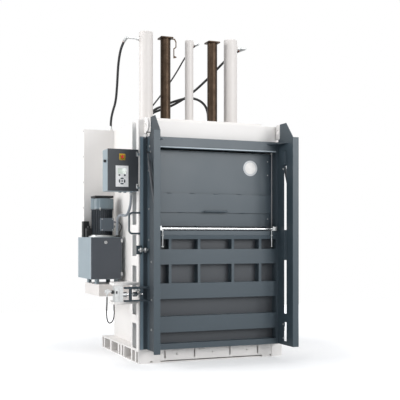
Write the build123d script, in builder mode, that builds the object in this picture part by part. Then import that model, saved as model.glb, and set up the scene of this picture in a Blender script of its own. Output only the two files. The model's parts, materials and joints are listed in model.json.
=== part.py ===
from build123d import *
import math
import os

# Vertical recycling baler, in millimetres.
# X runs to the right, Y to the rear and Z up. The origin is on the floor under the row of press cylinders,
# on the machine's centre plane.

# Base
base_half_width = 768
base_height = 126
base_front_y = -650
base_depth = 1346
deck_thickness = 12
sole_thickness = 8
plinth_thickness = 16
plinth_step = 6
plinth_gap = 20
corner_block = 116
pad_inset = 141
pad_width = 81
first_pocket = 58
pocket_widths = (93, 233, 55, 49, 243, 214, 55)
rib_widths = (39, 40, 35, 54, 45, 60, 34)
strap_x = (190, 497)
strap_slot = 14
strap_groove_depth = 5
plinth_hole_x = 376
plinth_hole_radius = 7
plinth_hole_z = 78
pad_outer_x = base_half_width - pad_inset
pad_inner_x = pad_outer_x - pad_width
base_rear_y = base_front_y + base_depth
deck_bottom = base_height - deck_thickness

# Posts, beam and walls
post_width = 123
post_depth = 240
post_wall = 8
frame_height = 2343
beam_height = 166
beam_wall = 8
beam_cover_inset = 78
beam_cover = 6
wall_thickness = 8
wall_rise = 57
wall_rear_inset = 50
window_front = 70
window_length = 134
window_rises = ((10, 255), (338, 458), (575, 813), (907, 1112))
top_window_rise = 1209
stiffener_count = 5
stiffener_height = 100
stiffener_depth = 44
stiffener_low_rise = 224
stiffener_high_drop = 250
stiffener_inset = 20
post_inner_x = base_half_width - post_width
post_rear_y = base_front_y + post_depth
beam_bottom = frame_height - beam_height
beam_cover_half = base_half_width - beam_cover_inset
wall_inner_x = post_inner_x - wall_thickness
wall_height = frame_height + wall_rise
wall_rear_y = base_rear_y - wall_rear_inset
window_spans = [(base_height + low, base_height + high) for low, high in window_rises]
window_spans.append((base_height + top_window_rise, frame_height))
stiffener_low = base_height + stiffener_low_rise
stiffener_pitch = (wall_height - stiffener_high_drop - stiffener_low) / (stiffener_count - 1)

# Lifting lugs
lug_inset = 64
lug_thickness = 16
lug_radius = 75
lug_hole_radius = 21.5
lug_reach = 53
lug_drop = 61
lug_x = base_half_width - lug_inset
lug_z = frame_height - lug_drop

# Press cylinders and guides
running = 0.05
loose = 0.3
main_inset = 155
main_radius = 72.5
main_bore = 60
main_rise = 957
main_rod_radius = 35
centre_radius = 45
centre_bore = 36
centre_drop = 45
centre_rod_radius = 20
barrel_sink = 175
gland_length = 30
barrel_cap = 20
barrel_edge = 4
flange_extra = 26
flange_thickness = 18
guide_radius = 53.5
guide_wall = 6
guide_drop = 51
guide_share = 0.73
cap_side = 137
cap_thickness = 12
crosshead_half_depth = 130
crosshead_height = 190
crosshead_wall = 10
bush_wall = 16
bush_rise = 15
main_x = wall_inner_x - main_inset
main_top = wall_height + main_rise
centre_top = main_top - centre_drop
barrel_bottom = wall_height - barrel_sink
crosshead_bottom = wall_height - crosshead_height
bush_radius = guide_radius + bush_wall
bush_low_x = centre_radius + flange_extra + bush_radius
bush_high_x = main_x - main_radius - flange_extra - bush_radius
guide_x = bush_low_x + guide_share * (bush_high_x - bush_low_x)
guide_top = main_top - guide_drop

# Ram
ram_side_gap = 12
ram_front_gap = 18
ram_rear_gap = 16
ram_drop = 130
ram_plate_thickness = 30
ram_beam_half = 110
ram_beam_gap = 5
piston_length = 40
piston_drop = 77
trip_reach = 20.5
trip_width = 34
trip_thickness = 5
trip_length = 210
trip_slot_margin = 12
ram_half_width = wall_inner_x - ram_side_gap
ram_rear_y = wall_rear_y - wall_thickness - ram_rear_gap
ram_bottom = crosshead_bottom - ram_drop
ram_top = crosshead_bottom - ram_beam_gap
tube_bottom = ram_bottom + ram_plate_thickness
piston_top = main_top - piston_drop
cap_edge = -guide_x + cap_side / 2
trip_x = cap_edge + trip_reach

# Main door
door_gap = 2
door_depth = 88
door_inset = 80
door_post = 31
door_foot_gap = 12
door_head_gap = 1
strip_outset = 67
strip_width = 29
strip_depth = 18
sheet_thickness = 4
rib_skin = 6
rib_rises = ((0, 56), (163, 316), (484, 634), (814, 961))
band_rise = 1059
band_height = 83
band_lip = 8
band_lip_rise = 34
band_step_rise = 39
mullion_x = (180, 479)
mullion_width = 29
rail_height = 103
rail_lip = 14
gusset_drop = 28
gusset_thickness = 6
gusset_width = 130
gusset_depth = 215
handle_radius = 9
handle_reach = 110
handle_rise = 52
handle_length = 198
handle_bend = 34
door_rear_y = base_front_y - door_gap
door_front_y = door_rear_y - door_depth
door_half_width = base_half_width - door_inset
door_inner_x = door_half_width - door_post
door_bottom = base_height + door_foot_gap
door_top = beam_bottom - door_head_gap
strip_outer_x = door_half_width + strip_outset
strip_inner_x = strip_outer_x - strip_width
strip_front_y = door_rear_y - strip_depth
strip_sheet_y = door_rear_y - sheet_thickness
rib_spans = [(door_bottom + low, door_bottom + high) for low, high in rib_rises]
band_bottom = door_bottom + band_rise
band_top = band_bottom + band_height
rail_bottom = door_top - rail_height
gusset_z = door_top - gusset_drop
handle_low_z = band_bottom + handle_rise
handle_high_z = handle_low_z + handle_length

# Stop on the door's free edge: an angle bracket and a bolt with two nuts
stop_drop = 104
stop_reach = 51
stop_plate = 5
stop_height = 85
stop_leg_inset = 10
stop_leg_depth = 30
stop_bolt_radius = 6
stop_nut_radius = 12
stop_nut_length = 10

# Main hinge
hinge_outset = 18
hinge_inset_y = 14
hinge_pin_radius = 8
knuckle_radius = 14
knuckle_height = 44
hinge_foot_rise = 162
hinge_head_drop = 176
hinge_leaf = 8
hinge_leaf_length = 90
hinge_x = base_half_width + hinge_outset
hinge_y = base_front_y - hinge_inset_y
hinge_low_z = door_bottom + hinge_foot_rise
hinge_high_z = door_top - hinge_head_drop
hinge_levels = (hinge_low_z, (hinge_low_z + hinge_high_z) / 2, hinge_high_z)

# Loading flap
flap_side_gap = 17
flap_foot_gap = 41
flap_head_gap = 15
flap_setback = 12
flap_flange = 28
flap_sheet = 4
shaft_radius = 12.5
shaft_reach = 5
shaft_rise = 18
bearing_width = 49
bearing_half_depth = 20
bearing_height = 42
flap_arm_x = 190
flap_arm_inset = 80
flap_arm_thickness = 10
flap_boss_radius = 16
flap_arm_rise = 100
flap_band_rise = 137
flap_band_height = 183
flap_band_depth = 18
flap_bar_x = 23
flap_bar_length = 245
flap_bar_rise = 12
flap_bar_radius = 8
flap_bar_reach = 34
flap_bar_post_radius = 6
pull_rod_inset = 10
pull_rod_radius = 6
pull_rod_reach = 19
pull_rod_length = 162
pull_rod_pin = 6
cross_pin_half = 12
cross_pin_radius = 3
cross_pin_rises = (6, 115)
shaft_y = door_front_y - shaft_reach
shaft_z = band_top + shaft_rise
bearing_inner_x = door_inner_x - bearing_width
bearing_y = (shaft_y - bearing_half_depth, shaft_y + bearing_half_depth)
flap_half_width = door_inner_x - flap_side_gap
flap_bottom = band_top + flap_foot_gap
flap_top = rail_bottom - flap_head_gap
flap_front_y = door_rear_y + flap_setback
flap_band_bottom = flap_bottom + flap_band_rise
flap_bar_z = flap_band_bottom + flap_bar_rise
flap_arm_places = (flap_arm_x, flap_half_width - flap_arm_inset)
pull_rod_x = bearing_inner_x - pull_rod_inset
pull_rod_y = door_front_y - pull_rod_reach
pull_rod_bottom = band_top - pull_rod_length
ram_front_y = flap_front_y + flap_sheet + ram_front_gap

# Side guards
guard_thickness = 5
guard_reach = 310
guard_head_reach = 32
guard_head_rise = 24
guard_flange = 60
guard_foot_gap = 2
guard_flange_rise = 19
guard_peak_rise = 9
guard_peak_setback = 145
guard_slot_setback = 160
guard_slot_width = 53
guard_slot_foot = 41
guard_slot_rises = (230, 315)
guard_box_width = 26
guard_box_depth = 70
guard_low_box = (310, 11)
guard_high_box = (135, 3)
guard_box_gap = 14
guard_x = door_half_width - guard_thickness / 2
guard_head_y = door_front_y - guard_head_reach
guard_head_z = door_top + guard_head_rise
guard_front_y = door_front_y - guard_reach
guard_bottom = door_bottom + guard_foot_gap
guard_flange_top = door_top + guard_flange_rise
guard_peak_z = frame_height + guard_peak_rise
guard_peak_y = guard_front_y + guard_peak_setback
guard_slot_y = guard_front_y + guard_slot_setback
guard_box_spans = (
    (shaft_z - guard_low_box[0], shaft_z - guard_low_box[1]),
    (rail_bottom - guard_high_box[0], rail_bottom - guard_high_box[1]),
)
guard_slot_spans = (
    (guard_bottom + guard_slot_foot, guard_bottom + guard_slot_rises[0]),
    (guard_bottom + guard_slot_rises[1], guard_box_spans[0][0]),
    (guard_box_spans[0][1], guard_box_spans[1][0] - guard_box_gap),
)

# Gas springs and chains beside the guards
spring_gap = 28
spring_top_reach = 35
spring_top_drop = 58
spring_foot_setback = 65
spring_fall = 495
spring_tube_radius = 14
spring_rod_radius = 6
spring_rod_length = 90
spring_eye_radius = 9
spring_eye_half = 5
spring_pin_radius = 5
spring_pin_past = 14
chain_offset = 9
chain_wire = 3
chain_link_length = 28
chain_link_width = 18
chain_bite = 0.4
chain_links = 9
spring_x = door_half_width + spring_gap
spring_top = (door_front_y - spring_top_reach, rail_bottom - spring_top_drop)
spring_foot = (guard_front_y + spring_foot_setback, spring_top[1] - spring_fall)
spring_pin_end = spring_x + spring_pin_past
chain_x = spring_x + chain_offset

# Door lock
arm_reach = 163
arm_setback = 2
arm_depth = 54
arm_rises = ((470, 483), (589, 608))
arm_plate = 6
keeper_inset = 64
keeper_radius = 15
keeper_slot_clear = 1
bolt_offset = 8
bolt_radius = 10
bolt_past_keeper = 124
bolt_nut = (22, 67)
bolt_nut_radius = 22
bolt_bore_length = 143
bolt_clear = 20
lock_body_gap = 78
lock_body_width = 83
lock_body_depth = 68
lock_lug_drop = 91
lock_lug_rise = 86
lock_lug_thickness = 24
lug_plate_length = 170
lug_plate_lip = 2
lug_plate_edge = 12
lug_plate_notch = 20
lock_boss_radius = 24
lock_boss_length = 40
banjo_reach = 64
banjo_rise = 32
banjo_radius = 22
banjo_length = 24
banjo_stub = 10
arm_end_x = -base_half_width - arm_reach
arm_front_y = door_front_y + arm_setback
arm_rear_y = arm_front_y + arm_depth
arm_levels = [(door_bottom + low, door_bottom + high) for low, high in arm_rises]
keeper_x = arm_end_x + keeper_inset
keeper_y = (arm_front_y + arm_rear_y) / 2
bolt_y = keeper_y + bolt_offset
bolt_z = (arm_levels[0][1] + arm_levels[1][0]) / 2
bolt_tip_x = keeper_x + bolt_past_keeper
bolt_rear_x = keeper_x - bolt_bore_length
lock_body_x = (keeper_x - lock_body_gap - lock_body_width, keeper_x - lock_body_gap)
lock_body_y = (arm_front_y, arm_front_y + lock_body_depth)
lock_lug_z = (bolt_z - lock_lug_drop, bolt_z + lock_lug_rise)
lug_plate_y = (base_front_y, base_front_y + lug_plate_length)
banjo_x = lock_body_x[0] - banjo_reach
banjo_z = bolt_z + banjo_rise

# Control box
box_width = 300
box_depth = 210
box_drop = 291
box_height = 397
box_skin = 3
box_gap = 2
box_inset = 4
box_door_depth = 20
box_hinge_reach = 6
box_hinge_inset = 7
box_hinge_rises = (41, 361)
box_hinge_height = 40
box_hinge_radius = 5
box_pin_radius = 2.5
box_hinge_lug = 8
box_hinge_relief = (4, 1)
box_door_gap = 2
box_gland_radius = 14
spindle_radius = 5
box_gland_places = ((53, 70, 14), (103, 110, 12), (152, 110, 12))
switch_inset = 161
switch_drop = 75
switch_width = 62
switch_height = 58
switch_plate = 3
knob_radius = 20
knob_depth = 9
knob_grip = 13
knob_grip_half = 4
knob_grip_inset = 1
panel_inset = 164
panel_rise = 38
panel_height = 200
panel_width = 124
panel_thickness = 6
display_width = 86
display_rise = 127
display_height = 52
display_depth = 1.5
round_key_x = 26.5
round_key_rise = 56
round_key_radius = 9
pad_rise = 54
centre_key_radius = 8
arc_key_inner = 19
arc_key_outer = 32
arc_key_half_angle = 33
key_thickness = 3.5
key_proud = 1
key_gap = 0.5
key_pocket = 4.5
latch_setback = 90
latch_rise = 285
latch_radius = 13
latch_length = 22
latch_cam = 30
box_right_x = -base_half_width
box_left_x = box_right_x - box_width
box_top = frame_height - box_drop
box_bottom = box_top - box_height
box_rear_y = base_front_y + box_depth
box_front_y = base_front_y + box_door_depth
box_hinge_y = base_front_y - box_hinge_reach
box_hinge_x = box_right_x - box_hinge_inset
box_hinge_levels = [box_bottom + rise for rise in box_hinge_rises]
box_hinge_lug_x = box_right_x + box_hinge_lug
box_glands = [(box_right_x - x, base_front_y + y, length) for x, y, length in box_gland_places]
switch_x = box_right_x - switch_inset
switch_z = box_top - switch_drop
panel_x = box_right_x - panel_inset
panel_low_z = box_bottom + panel_rise
panel_high_z = panel_low_z + panel_height
display_low_z = panel_low_z + display_rise
display_high_z = display_low_z + display_height
pad_z = panel_low_z + pad_rise
latch_y = base_front_y + latch_setback
latch_z = box_bottom + latch_rise

# Power pack
shelf_width = 327
shelf_depth = 596
shelf_z = (606, 725)
shelf_wall = 6
tank_gap = 39
tank_width = 334
tank_setback = 150
tank_past_wall = 136
tank_foot_height = 49
tank_height = 442
tank_wall = 4
tank_service_depth = 110
tank_foot_inset_x = (78, 46)
tank_foot_inset_y = 60
tank_foot_wall_gap = 56
tank_foot_radius = 24
tank_door_thickness = 4
tank_hinge_inset_z = (47, 35)
tank_hinge_radius = 5
tank_hinge_height = 34
tank_hinge_reach = 6
tank_hinge_leaf = 20
tank_door_gap = 2
tank_hinge_setback = 2.5
tank_lock_inset = 156
tank_lock_drop = 54
tank_lock_radius = 17
tank_lock_proud = 7
tank_cable_inset = (14, 64)
conduit_inset = (44, 26)
lock_gland_inset = (155, 50)
motor_inset = 183
motor_setback = 250
motor_flange_radius = 150
motor_flange_thickness = 14
motor_core_radius = 101
motor_fin_radius = 114
motor_fin_count = 32
motor_fin_thickness = 3.5
motor_foot_height = 24
motor_length = 281
motor_foot_radius = 108
motor_rim_height = 12
shaft_end_radius = 9
cowl_radius = 122
cowl_height = 110
cowl_skin = 3
cowl_hole_rings = ((34, 8), (58, 14), (82, 20))
cowl_hole_radius = 7
fan_blades = 7
fan_radius = 100
fan_rise = 29
fan_height = 44
fan_hub_radius = 26
hood_side = 236
hood_rise = 29
hood_skin = 3
hood_skirt = 22
hood_post_radius = 5
hood_post_x = 70
terminal_width = (54, 84)
terminal_reach = 166
terminal_rise = 66
terminal_height = 138
terminal_depth = 50
terminal_pad_half = 50
terminal_pad_inset = 20
terminal_corner = 10
gland_radius = 11
gland_reach = 22
cable_gland_reach = 12
conduit_gland_radius = 16
terminal_gland_rises = (48, 96)
valve_inset = 6
valve_width = 62
valve_depth = 78
valve_rear_gap = 142
valve_height = 174
shelf_x = (-post_inner_x - shelf_width, -post_inner_x)
shelf_y = (wall_rear_y - shelf_depth, wall_rear_y)
tank_x = (-post_inner_x - tank_gap - tank_width, -post_inner_x - tank_gap)
tank_y = (shelf_y[0] + tank_setback, wall_rear_y + tank_past_wall)
tank_z = (shelf_z[1] + tank_foot_height, shelf_z[1] + tank_foot_height + tank_height)
tank_foot_x = (tank_x[0] + tank_foot_inset_x[0], tank_x[1] - tank_foot_inset_x[1])
tank_foot_y = (tank_y[0] + tank_foot_inset_y, wall_rear_y - tank_foot_wall_gap)
tank_hinge_levels = (tank_z[0] + tank_hinge_inset_z[0], tank_z[1] - tank_hinge_inset_z[1])
tank_hinge_x = tank_x[1] + tank_hinge_reach
tank_hinge_y = tank_y[0] - tank_hinge_setback
tank_lock_x = tank_x[0] + tank_lock_inset
tank_lock_z = tank_z[1] - tank_lock_drop
tank_cable = (tank_x[1] - tank_cable_inset[0], tank_y[0] + tank_cable_inset[1])
conduit_foot = (tank_x[1] - conduit_inset[0], tank_y[0] + conduit_inset[1])
lock_gland = (shelf_x[1] - lock_gland_inset[0], shelf_y[0] + lock_gland_inset[1])
motor_x = tank_x[0] + motor_inset
motor_y = tank_y[0] + motor_setback
motor_bottom = tank_z[1] + motor_foot_height
motor_top = motor_bottom + motor_length
cowl_top = motor_top + cowl_height
fan_bottom = motor_top + fan_rise
hood_top = cowl_top + hood_rise
terminal_x = (motor_x - terminal_width[0], motor_x + terminal_width[1])
terminal_z = (tank_z[1] + terminal_rise, tank_z[1] + terminal_rise + terminal_height)
terminal_front_y = motor_y - terminal_reach
terminal_gland_y = terminal_front_y + terminal_depth / 2
terminal_gland_z = [terminal_z[0] + rise for rise in terminal_gland_rises]
valve_x = (tank_x[0] + valve_inset, tank_x[0] + valve_inset + valve_width)
valve_y = (tank_y[1] - valve_rear_gap - valve_depth, tank_y[1] - valve_rear_gap)
valve_top = tank_z[1] + valve_height

# Rear cabinet
cabinet_outset = 340
cabinet_inset = 85
cabinet_depth = 312
cabinet_foot_gap = 2
cabinet_skin = 4
cabinet_gland_radius = 24
cabinet_gland_length = 20
cabinet_gland_place = (23, 58)
cabinet_x = (-post_inner_x - cabinet_outset, -post_inner_x + cabinet_inset)
cabinet_y = (wall_rear_y, wall_rear_y + cabinet_depth)
cabinet_bottom = tank_z[1] + cabinet_foot_gap
cabinet_top_gland = (-post_inner_x - cabinet_gland_place[0], wall_rear_y + cabinet_gland_place[1])
gland_top = wall_height + cabinet_gland_length
stiffener_left_x = cabinet_x[1] + stiffener_inset

# Hoses and cables
press_hose = 26
thin_hose = 16
lock_hose_diameter = 13
conduit_diameter = 22
cable_diameter = 10
bend_share = 0.45
ferrule_length = 28
thin_ferrule_length = 20
ferrule_wall = 3
port_drop = 74
port_boss = 8
port_radius = 22
port_nut_length = 22
port_pipe_radius = 11
left_pipe_reach = 135.5
centre_pipe_reach = 60
right_pipe_reach = 100.5
roof_gland_length = 16
roof_gland_wall = 8
port_z = main_top - port_drop
left_elbow = (-main_x - main_radius - left_pipe_reach, 0, port_z)
centre_elbow = (centre_radius + centre_pipe_reach, 0, port_z)
right_elbow = (main_x + main_radius + right_pipe_reach, 0, port_z)
return_start_gland = (275, crosshead_half_depth)
return_end_gland = (-330, wall_rear_y - 226)
centre_roof_gland = (-395, wall_rear_y - 169)
right_roof_gland = (-318, wall_rear_y - 136)
roof_gland_top = wall_height + roof_gland_length
cord_starts = (
    (left_elbow, -main_x - main_radius, press_hose, ferrule_length),
    (centre_elbow, centre_radius, thin_hose, thin_ferrule_length),
    (right_elbow, main_x + main_radius, press_hose, ferrule_length),
)

os.makedirs("parts", exist_ok=True)


def block(x, y, z, mode=Mode.ADD):
    """A box between two corners, given as (low, high) pairs along X, Y and Z."""
    middle = ((x[0] + x[1]) / 2, (y[0] + y[1]) / 2, (z[0] + z[1]) / 2)
    with Locations(middle):
        Box(x[1] - x[0], y[1] - y[0], z[1] - z[0], mode=mode)


def rod(start, end, radius, mode=Mode.ADD):
    """A round bar from start to end."""
    run = Vector(*end) - Vector(*start)
    with Locations(Plane(origin=start, z_dir=run)):
        Cylinder(radius, run.length, align=(Align.CENTER, Align.CENTER, Align.MIN), mode=mode)


def plate(plane, points, depth, corner=0, mode=Mode.ADD):
    """A plate with a straight-sided outline, its corners rounded when a radius is given."""
    with BuildSketch(plane) as outline:
        with BuildLine():
            Polyline(*points, close=True)
        make_face()
        if corner:
            fillet(outline.vertices(), corner)
    extrude(outline.sketch, amount=depth, mode=mode)


def finish(builder, name):
    """Label a finished piece and write it to its own file."""
    builder.part.label = name
    export_step(builder.part, f"parts/{name}.step")


def mirrored(builder, name):
    """The same piece on the other side of the machine's centre plane."""
    with BuildPart() as other:
        add(mirror(builder.part, about=Plane.YZ))
    finish(other, name)


# Base: cross ribs between a sole and a deck, closed at the front by the plinth.
with BuildPart() as base_ribs:
    rib_start = base_front_y + plinth_thickness + first_pocket
    for rib_width, pocket_width in zip(rib_widths, pocket_widths):
        block(
            (-base_half_width, base_half_width),
            (rib_start, rib_start + rib_width),
            (sole_thickness, deck_bottom),
        )
        rib_start += rib_width + pocket_width
    block((-base_half_width, base_half_width), (rib_start, base_rear_y), (sole_thickness, deck_bottom))
finish(base_ribs, "base_ribs")

with BuildPart() as base_plates:
    block(
        (-base_half_width, base_half_width),
        (base_front_y + plinth_thickness, base_rear_y),
        (0, sole_thickness),
    )
    block((-base_half_width, base_half_width), (base_front_y, base_rear_y), (deck_bottom, base_height))
    for side in (-1, 1):
        for x in strap_x:
            block(
                (side * x - strap_slot / 2, side * x + strap_slot / 2),
                (base_front_y, wall_rear_y),
                (base_height - strap_groove_depth, base_height),
                mode=Mode.SUBTRACT,
            )
finish(base_plates, "base_plates")

with BuildPart() as front_plinth:
    plinth_y = (base_front_y + plinth_step, base_front_y + plinth_thickness)
    block_inner_x = base_half_width - corner_block
    block((-base_half_width, base_half_width), plinth_y, (plinth_gap, deck_bottom))
    for side in (-1, 1):
        outer = sorted((side * block_inner_x, side * base_half_width))
        pad = sorted((side * pad_inner_x, side * pad_outer_x))
        block(outer, (base_front_y, plinth_y[1]), (0, deck_bottom))
        block(pad, (base_front_y, plinth_y[1]), (0, plinth_gap))
        for x in strap_x:
            block(
                (side * x - strap_slot / 2, side * x + strap_slot / 2),
                plinth_y,
                (2 * plinth_gap, deck_bottom),
                mode=Mode.SUBTRACT,
            )
    for x in (-plinth_hole_x, 0, plinth_hole_x):
        rod(
            (x, plinth_y[0], plinth_hole_z),
            (x, plinth_y[1], plinth_hole_z),
            plinth_hole_radius,
            Mode.SUBTRACT,
        )
finish(front_plinth, "front_plinth")

# Front posts: square tubes with windows cut in their outer side and a lifting lug on their front.
with BuildPart() as post_left:
    with BuildSketch(Plane.XY.offset(base_height)):
        with Locations((-base_half_width + post_width / 2, base_front_y + post_depth / 2)):
            Rectangle(post_width, post_depth)
            Rectangle(post_width - 2 * post_wall, post_depth - 2 * post_wall, mode=Mode.SUBTRACT)
    extrude(amount=frame_height - base_height)
    for low, high in window_spans:
        block(
            (-base_half_width, -base_half_width + post_wall),
            (base_front_y + window_front, base_front_y + window_front + window_length),
            (low, high),
            mode=Mode.SUBTRACT,
        )
    with BuildSketch(Plane.YZ.offset(-lug_x - lug_thickness / 2)):
        with Locations((base_front_y - lug_reach, lug_z)):
            Circle(lug_radius)
        with Locations((base_front_y - lug_reach / 2, lug_z - lug_radius / 4)):
            Rectangle(lug_reach, 1.5 * lug_radius)
        with Locations((base_front_y + lug_radius / 2, lug_z)):
            Rectangle(lug_radius, 2 * lug_radius, mode=Mode.SUBTRACT)
        with Locations((base_front_y - lug_reach, lug_z)):
            Circle(lug_hole_radius, mode=Mode.SUBTRACT)
    extrude(amount=lug_thickness)
finish(post_left, "post_left")

# The right post also carries the fixed halves of the three door hinges.
with BuildPart() as post_right:
    add(mirror(post_left.part, about=Plane.YZ))
    for level in hinge_levels:
        fixed = (level - knuckle_height, level)
        leaf_front = base_front_y + hinge_leaf
        block(
            (base_half_width, base_half_width + hinge_leaf),
            (leaf_front, leaf_front + hinge_leaf_length),
            (level - knuckle_height, level + knuckle_height),
        )
        block((base_half_width + loose, hinge_x), (hinge_y, leaf_front + hinge_leaf), fixed)
        rod((hinge_x, hinge_y, fixed[0]), (hinge_x, hinge_y, fixed[1]), knuckle_radius)
        pin_top = level + knuckle_height + hinge_leaf
        rod((hinge_x, hinge_y, level), (hinge_x, hinge_y, pin_top), hinge_pin_radius)
finish(post_right, "post_right")

# Top beam: a square tube between the posts with a folded cover in front of it.
with BuildPart() as top_beam:
    with BuildSketch(Plane.YZ.offset(-post_inner_x)):
        with Locations((base_front_y + post_depth / 2, frame_height - beam_height / 2)):
            Rectangle(post_depth, beam_height)
            Rectangle(post_depth - 2 * beam_wall, beam_height - 2 * beam_wall, mode=Mode.SUBTRACT)
    extrude(amount=2 * post_inner_x)
    with BuildSketch(Plane.XZ.offset(-base_front_y)) as cover:
        with Locations((0, frame_height - beam_height / 2)):
            RectangleRounded(2 * beam_cover_half, beam_height, beam_cover)
    extrude(amount=beam_cover)
finish(top_beam, "top_beam")

# Chamber walls.
with BuildPart() as side_walls:
    for side in (-1, 1):
        sheet = sorted((side * post_inner_x, side * wall_inner_x))
        block(sheet, (post_rear_y, wall_rear_y), (base_height, wall_height))
finish(side_walls, "side_walls")

with BuildPart() as rear_wall:
    block(
        (-wall_inner_x, wall_inner_x),
        (wall_rear_y - wall_thickness, wall_rear_y),
        (base_height, wall_height),
    )
    for i in range(stiffener_count):
        level = stiffener_low + i * stiffener_pitch
        block(
            (stiffener_left_x, wall_inner_x),
            (wall_rear_y, wall_rear_y + stiffener_depth),
            (level, level + stiffener_height),
        )
        block(
            (stiffener_left_x, wall_inner_x),
            (wall_rear_y, wall_rear_y + stiffener_depth - wall_thickness),
            (level + wall_thickness, level + stiffener_height - wall_thickness),
            mode=Mode.SUBTRACT,
        )
finish(rear_wall, "rear_wall")

# Crosshead: a tube across the chamber that carries the cylinders and guide bushes, with the roof sheet.
with BuildPart() as crosshead:
    with BuildSketch(Plane.YZ.offset(-wall_inner_x)):
        with Locations((0, wall_height - crosshead_height / 2)):
            Rectangle(2 * crosshead_half_depth, crosshead_height)
            Rectangle(
                2 * (crosshead_half_depth - crosshead_wall),
                crosshead_height - 2 * crosshead_wall,
                mode=Mode.SUBTRACT,
            )
    extrude(amount=2 * wall_inner_x)
    block(
        (-wall_inner_x, wall_inner_x),
        (post_rear_y, wall_rear_y - wall_thickness),
        (wall_height - wall_thickness, wall_height),
    )
    for side in (-1, 1):
        rod(
            (side * guide_x, 0, crosshead_bottom),
            (side * guide_x, 0, wall_height + bush_rise),
            bush_radius,
        )
        rod(
            (side * guide_x, 0, crosshead_bottom),
            (side * guide_x, 0, wall_height + bush_rise),
            guide_radius + running,
            Mode.SUBTRACT,
        )
        rod(
            (side * main_x, 0, crosshead_bottom),
            (side * main_x, 0, wall_height),
            main_radius + loose,
            Mode.SUBTRACT,
        )
    rod((0, 0, crosshead_bottom), (0, 0, wall_height), centre_radius + loose, Mode.SUBTRACT)
    block(
        (trip_x - trip_slot_margin, trip_x + trip_width + trip_slot_margin),
        (-trip_slot_margin, trip_slot_margin),
        (wall_height - crosshead_wall, wall_height),
        mode=Mode.SUBTRACT,
    )
    for spot, hose in (
        (return_start_gland, press_hose),
        (return_end_gland, press_hose),
        (centre_roof_gland, thin_hose),
        (right_roof_gland, press_hose),
    ):
        rod((*spot, wall_height), (*spot, roof_gland_top), hose / 2 + roof_gland_wall)
finish(crosshead, "crosshead")


def barrel(x, radius, bore, rod_radius, top):
    """A press cylinder standing on the crosshead, closed at its top and with a rod gland at its foot."""
    with BuildSketch(Plane.XZ) as section:
        with BuildLine():
            Polyline(
                (rod_radius + running, barrel_bottom),
                (radius, barrel_bottom),
                (radius, wall_height),
                (radius + flange_extra, wall_height),
                (radius + flange_extra, wall_height + flange_thickness),
                (radius, wall_height + flange_thickness),
                (radius, top - barrel_edge),
                (radius - barrel_edge, top),
                (0, top),
                (0, top - barrel_cap),
                (bore, top - barrel_cap),
                (bore, barrel_bottom + gland_length),
                (rod_radius + running, barrel_bottom + gland_length),
                close=True,
            )
        make_face()
    turned = revolve(section.sketch, axis=Axis.Z, mode=Mode.PRIVATE)
    add(turned.moved(Location((x, 0, 0))))


with BuildPart() as press_cylinders:
    for side in (-1, 1):
        barrel(side * main_x, main_radius, main_bore, main_rod_radius, main_top)
    barrel(0, centre_radius, centre_bore, centre_rod_radius, centre_top)
    for elbow, wall_x, hose, length in cord_starts:
        out = math.copysign(1, elbow[0])
        rod((wall_x - out * port_boss, 0, port_z), (wall_x + out * port_boss, 0, port_z), port_radius)
finish(press_cylinders, "press_cylinders")

# Ram: the pressing plate with its beams, hung on two guide tubes and three piston rods.
with BuildPart() as ram_plate:
    block(
        (-ram_half_width, ram_half_width),
        (ram_front_y, ram_rear_y),
        (ram_bottom, ram_bottom + ram_plate_thickness),
    )
    for side in (-1, 1):
        for x in strap_x:
            block(
                (side * x - strap_slot / 2, side * x + strap_slot / 2),
                (ram_front_y, ram_rear_y),
                (ram_bottom, ram_bottom + 2 * strap_groove_depth),
                mode=Mode.SUBTRACT,
            )
    block((-ram_half_width, ram_half_width), (-ram_beam_half, ram_beam_half), (tube_bottom, ram_top))
    block(
        (-ram_half_width, ram_half_width),
        (-ram_beam_half + beam_wall, ram_beam_half - beam_wall),
        (tube_bottom, ram_top - beam_wall),
        mode=Mode.SUBTRACT,
    )
    for side in (-1, 1):
        rod((side * guide_x, 0, tube_bottom), (side * guide_x, 0, ram_top), guide_radius, Mode.SUBTRACT)
finish(ram_plate, "ram_plate")

with BuildPart() as guide_tubes:
    for side in (-1, 1):
        rod((side * guide_x, 0, tube_bottom), (side * guide_x, 0, guide_top), guide_radius)
        rod(
            (side * guide_x, 0, tube_bottom),
            (side * guide_x, 0, guide_top),
            guide_radius - guide_wall,
            Mode.SUBTRACT,
        )
finish(guide_tubes, "guide_tubes")

# The left cap also carries the folded trip strip that works the limit switches.
with BuildPart() as tube_caps:
    trip_top = guide_top + cap_thickness
    cap_edge = -guide_x + cap_side / 2
    for side in (-1, 1):
        with BuildSketch(Plane.XY.offset(guide_top)):
            with Locations((side * guide_x, 0)):
                RectangleRounded(cap_side, cap_side, cap_thickness)
        extrude(amount=cap_thickness)
    plate(
        Plane.XZ.offset(-trip_thickness / 2),
        [
            (cap_edge, trip_top),
            (trip_x + 18, trip_top),
            (trip_x + trip_width, trip_top - 32),
            (trip_x + trip_width, trip_top - 92),
            (trip_x + 10, trip_top - 112),
            (trip_x + 10, trip_top - 182),
            (trip_x + trip_width, trip_top - 190),
            (trip_x + trip_width, trip_top - 200),
            (trip_x, trip_top - trip_length),
            (trip_x, trip_top - 104),
            (trip_x + 24, trip_top - 86),
            (trip_x + 24, trip_top - 40),
            (trip_x + 10, trip_top - 12),
            (cap_edge, trip_top - 12),
        ],
        trip_thickness,
    )
finish(tube_caps, "tube_caps")

with BuildPart() as piston_rods:
    for x, rod_radius, bore in (
        (-main_x, main_rod_radius, main_bore),
        (0, centre_rod_radius, centre_bore),
        (main_x, main_rod_radius, main_bore),
    ):
        head = piston_top if x else piston_top - (main_top - centre_top)
        rod((x, 0, ram_top), (x, 0, head), rod_radius)
        rod((x, 0, head - piston_length), (x, 0, head), bore - running)
finish(piston_rods, "piston_rods")

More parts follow.
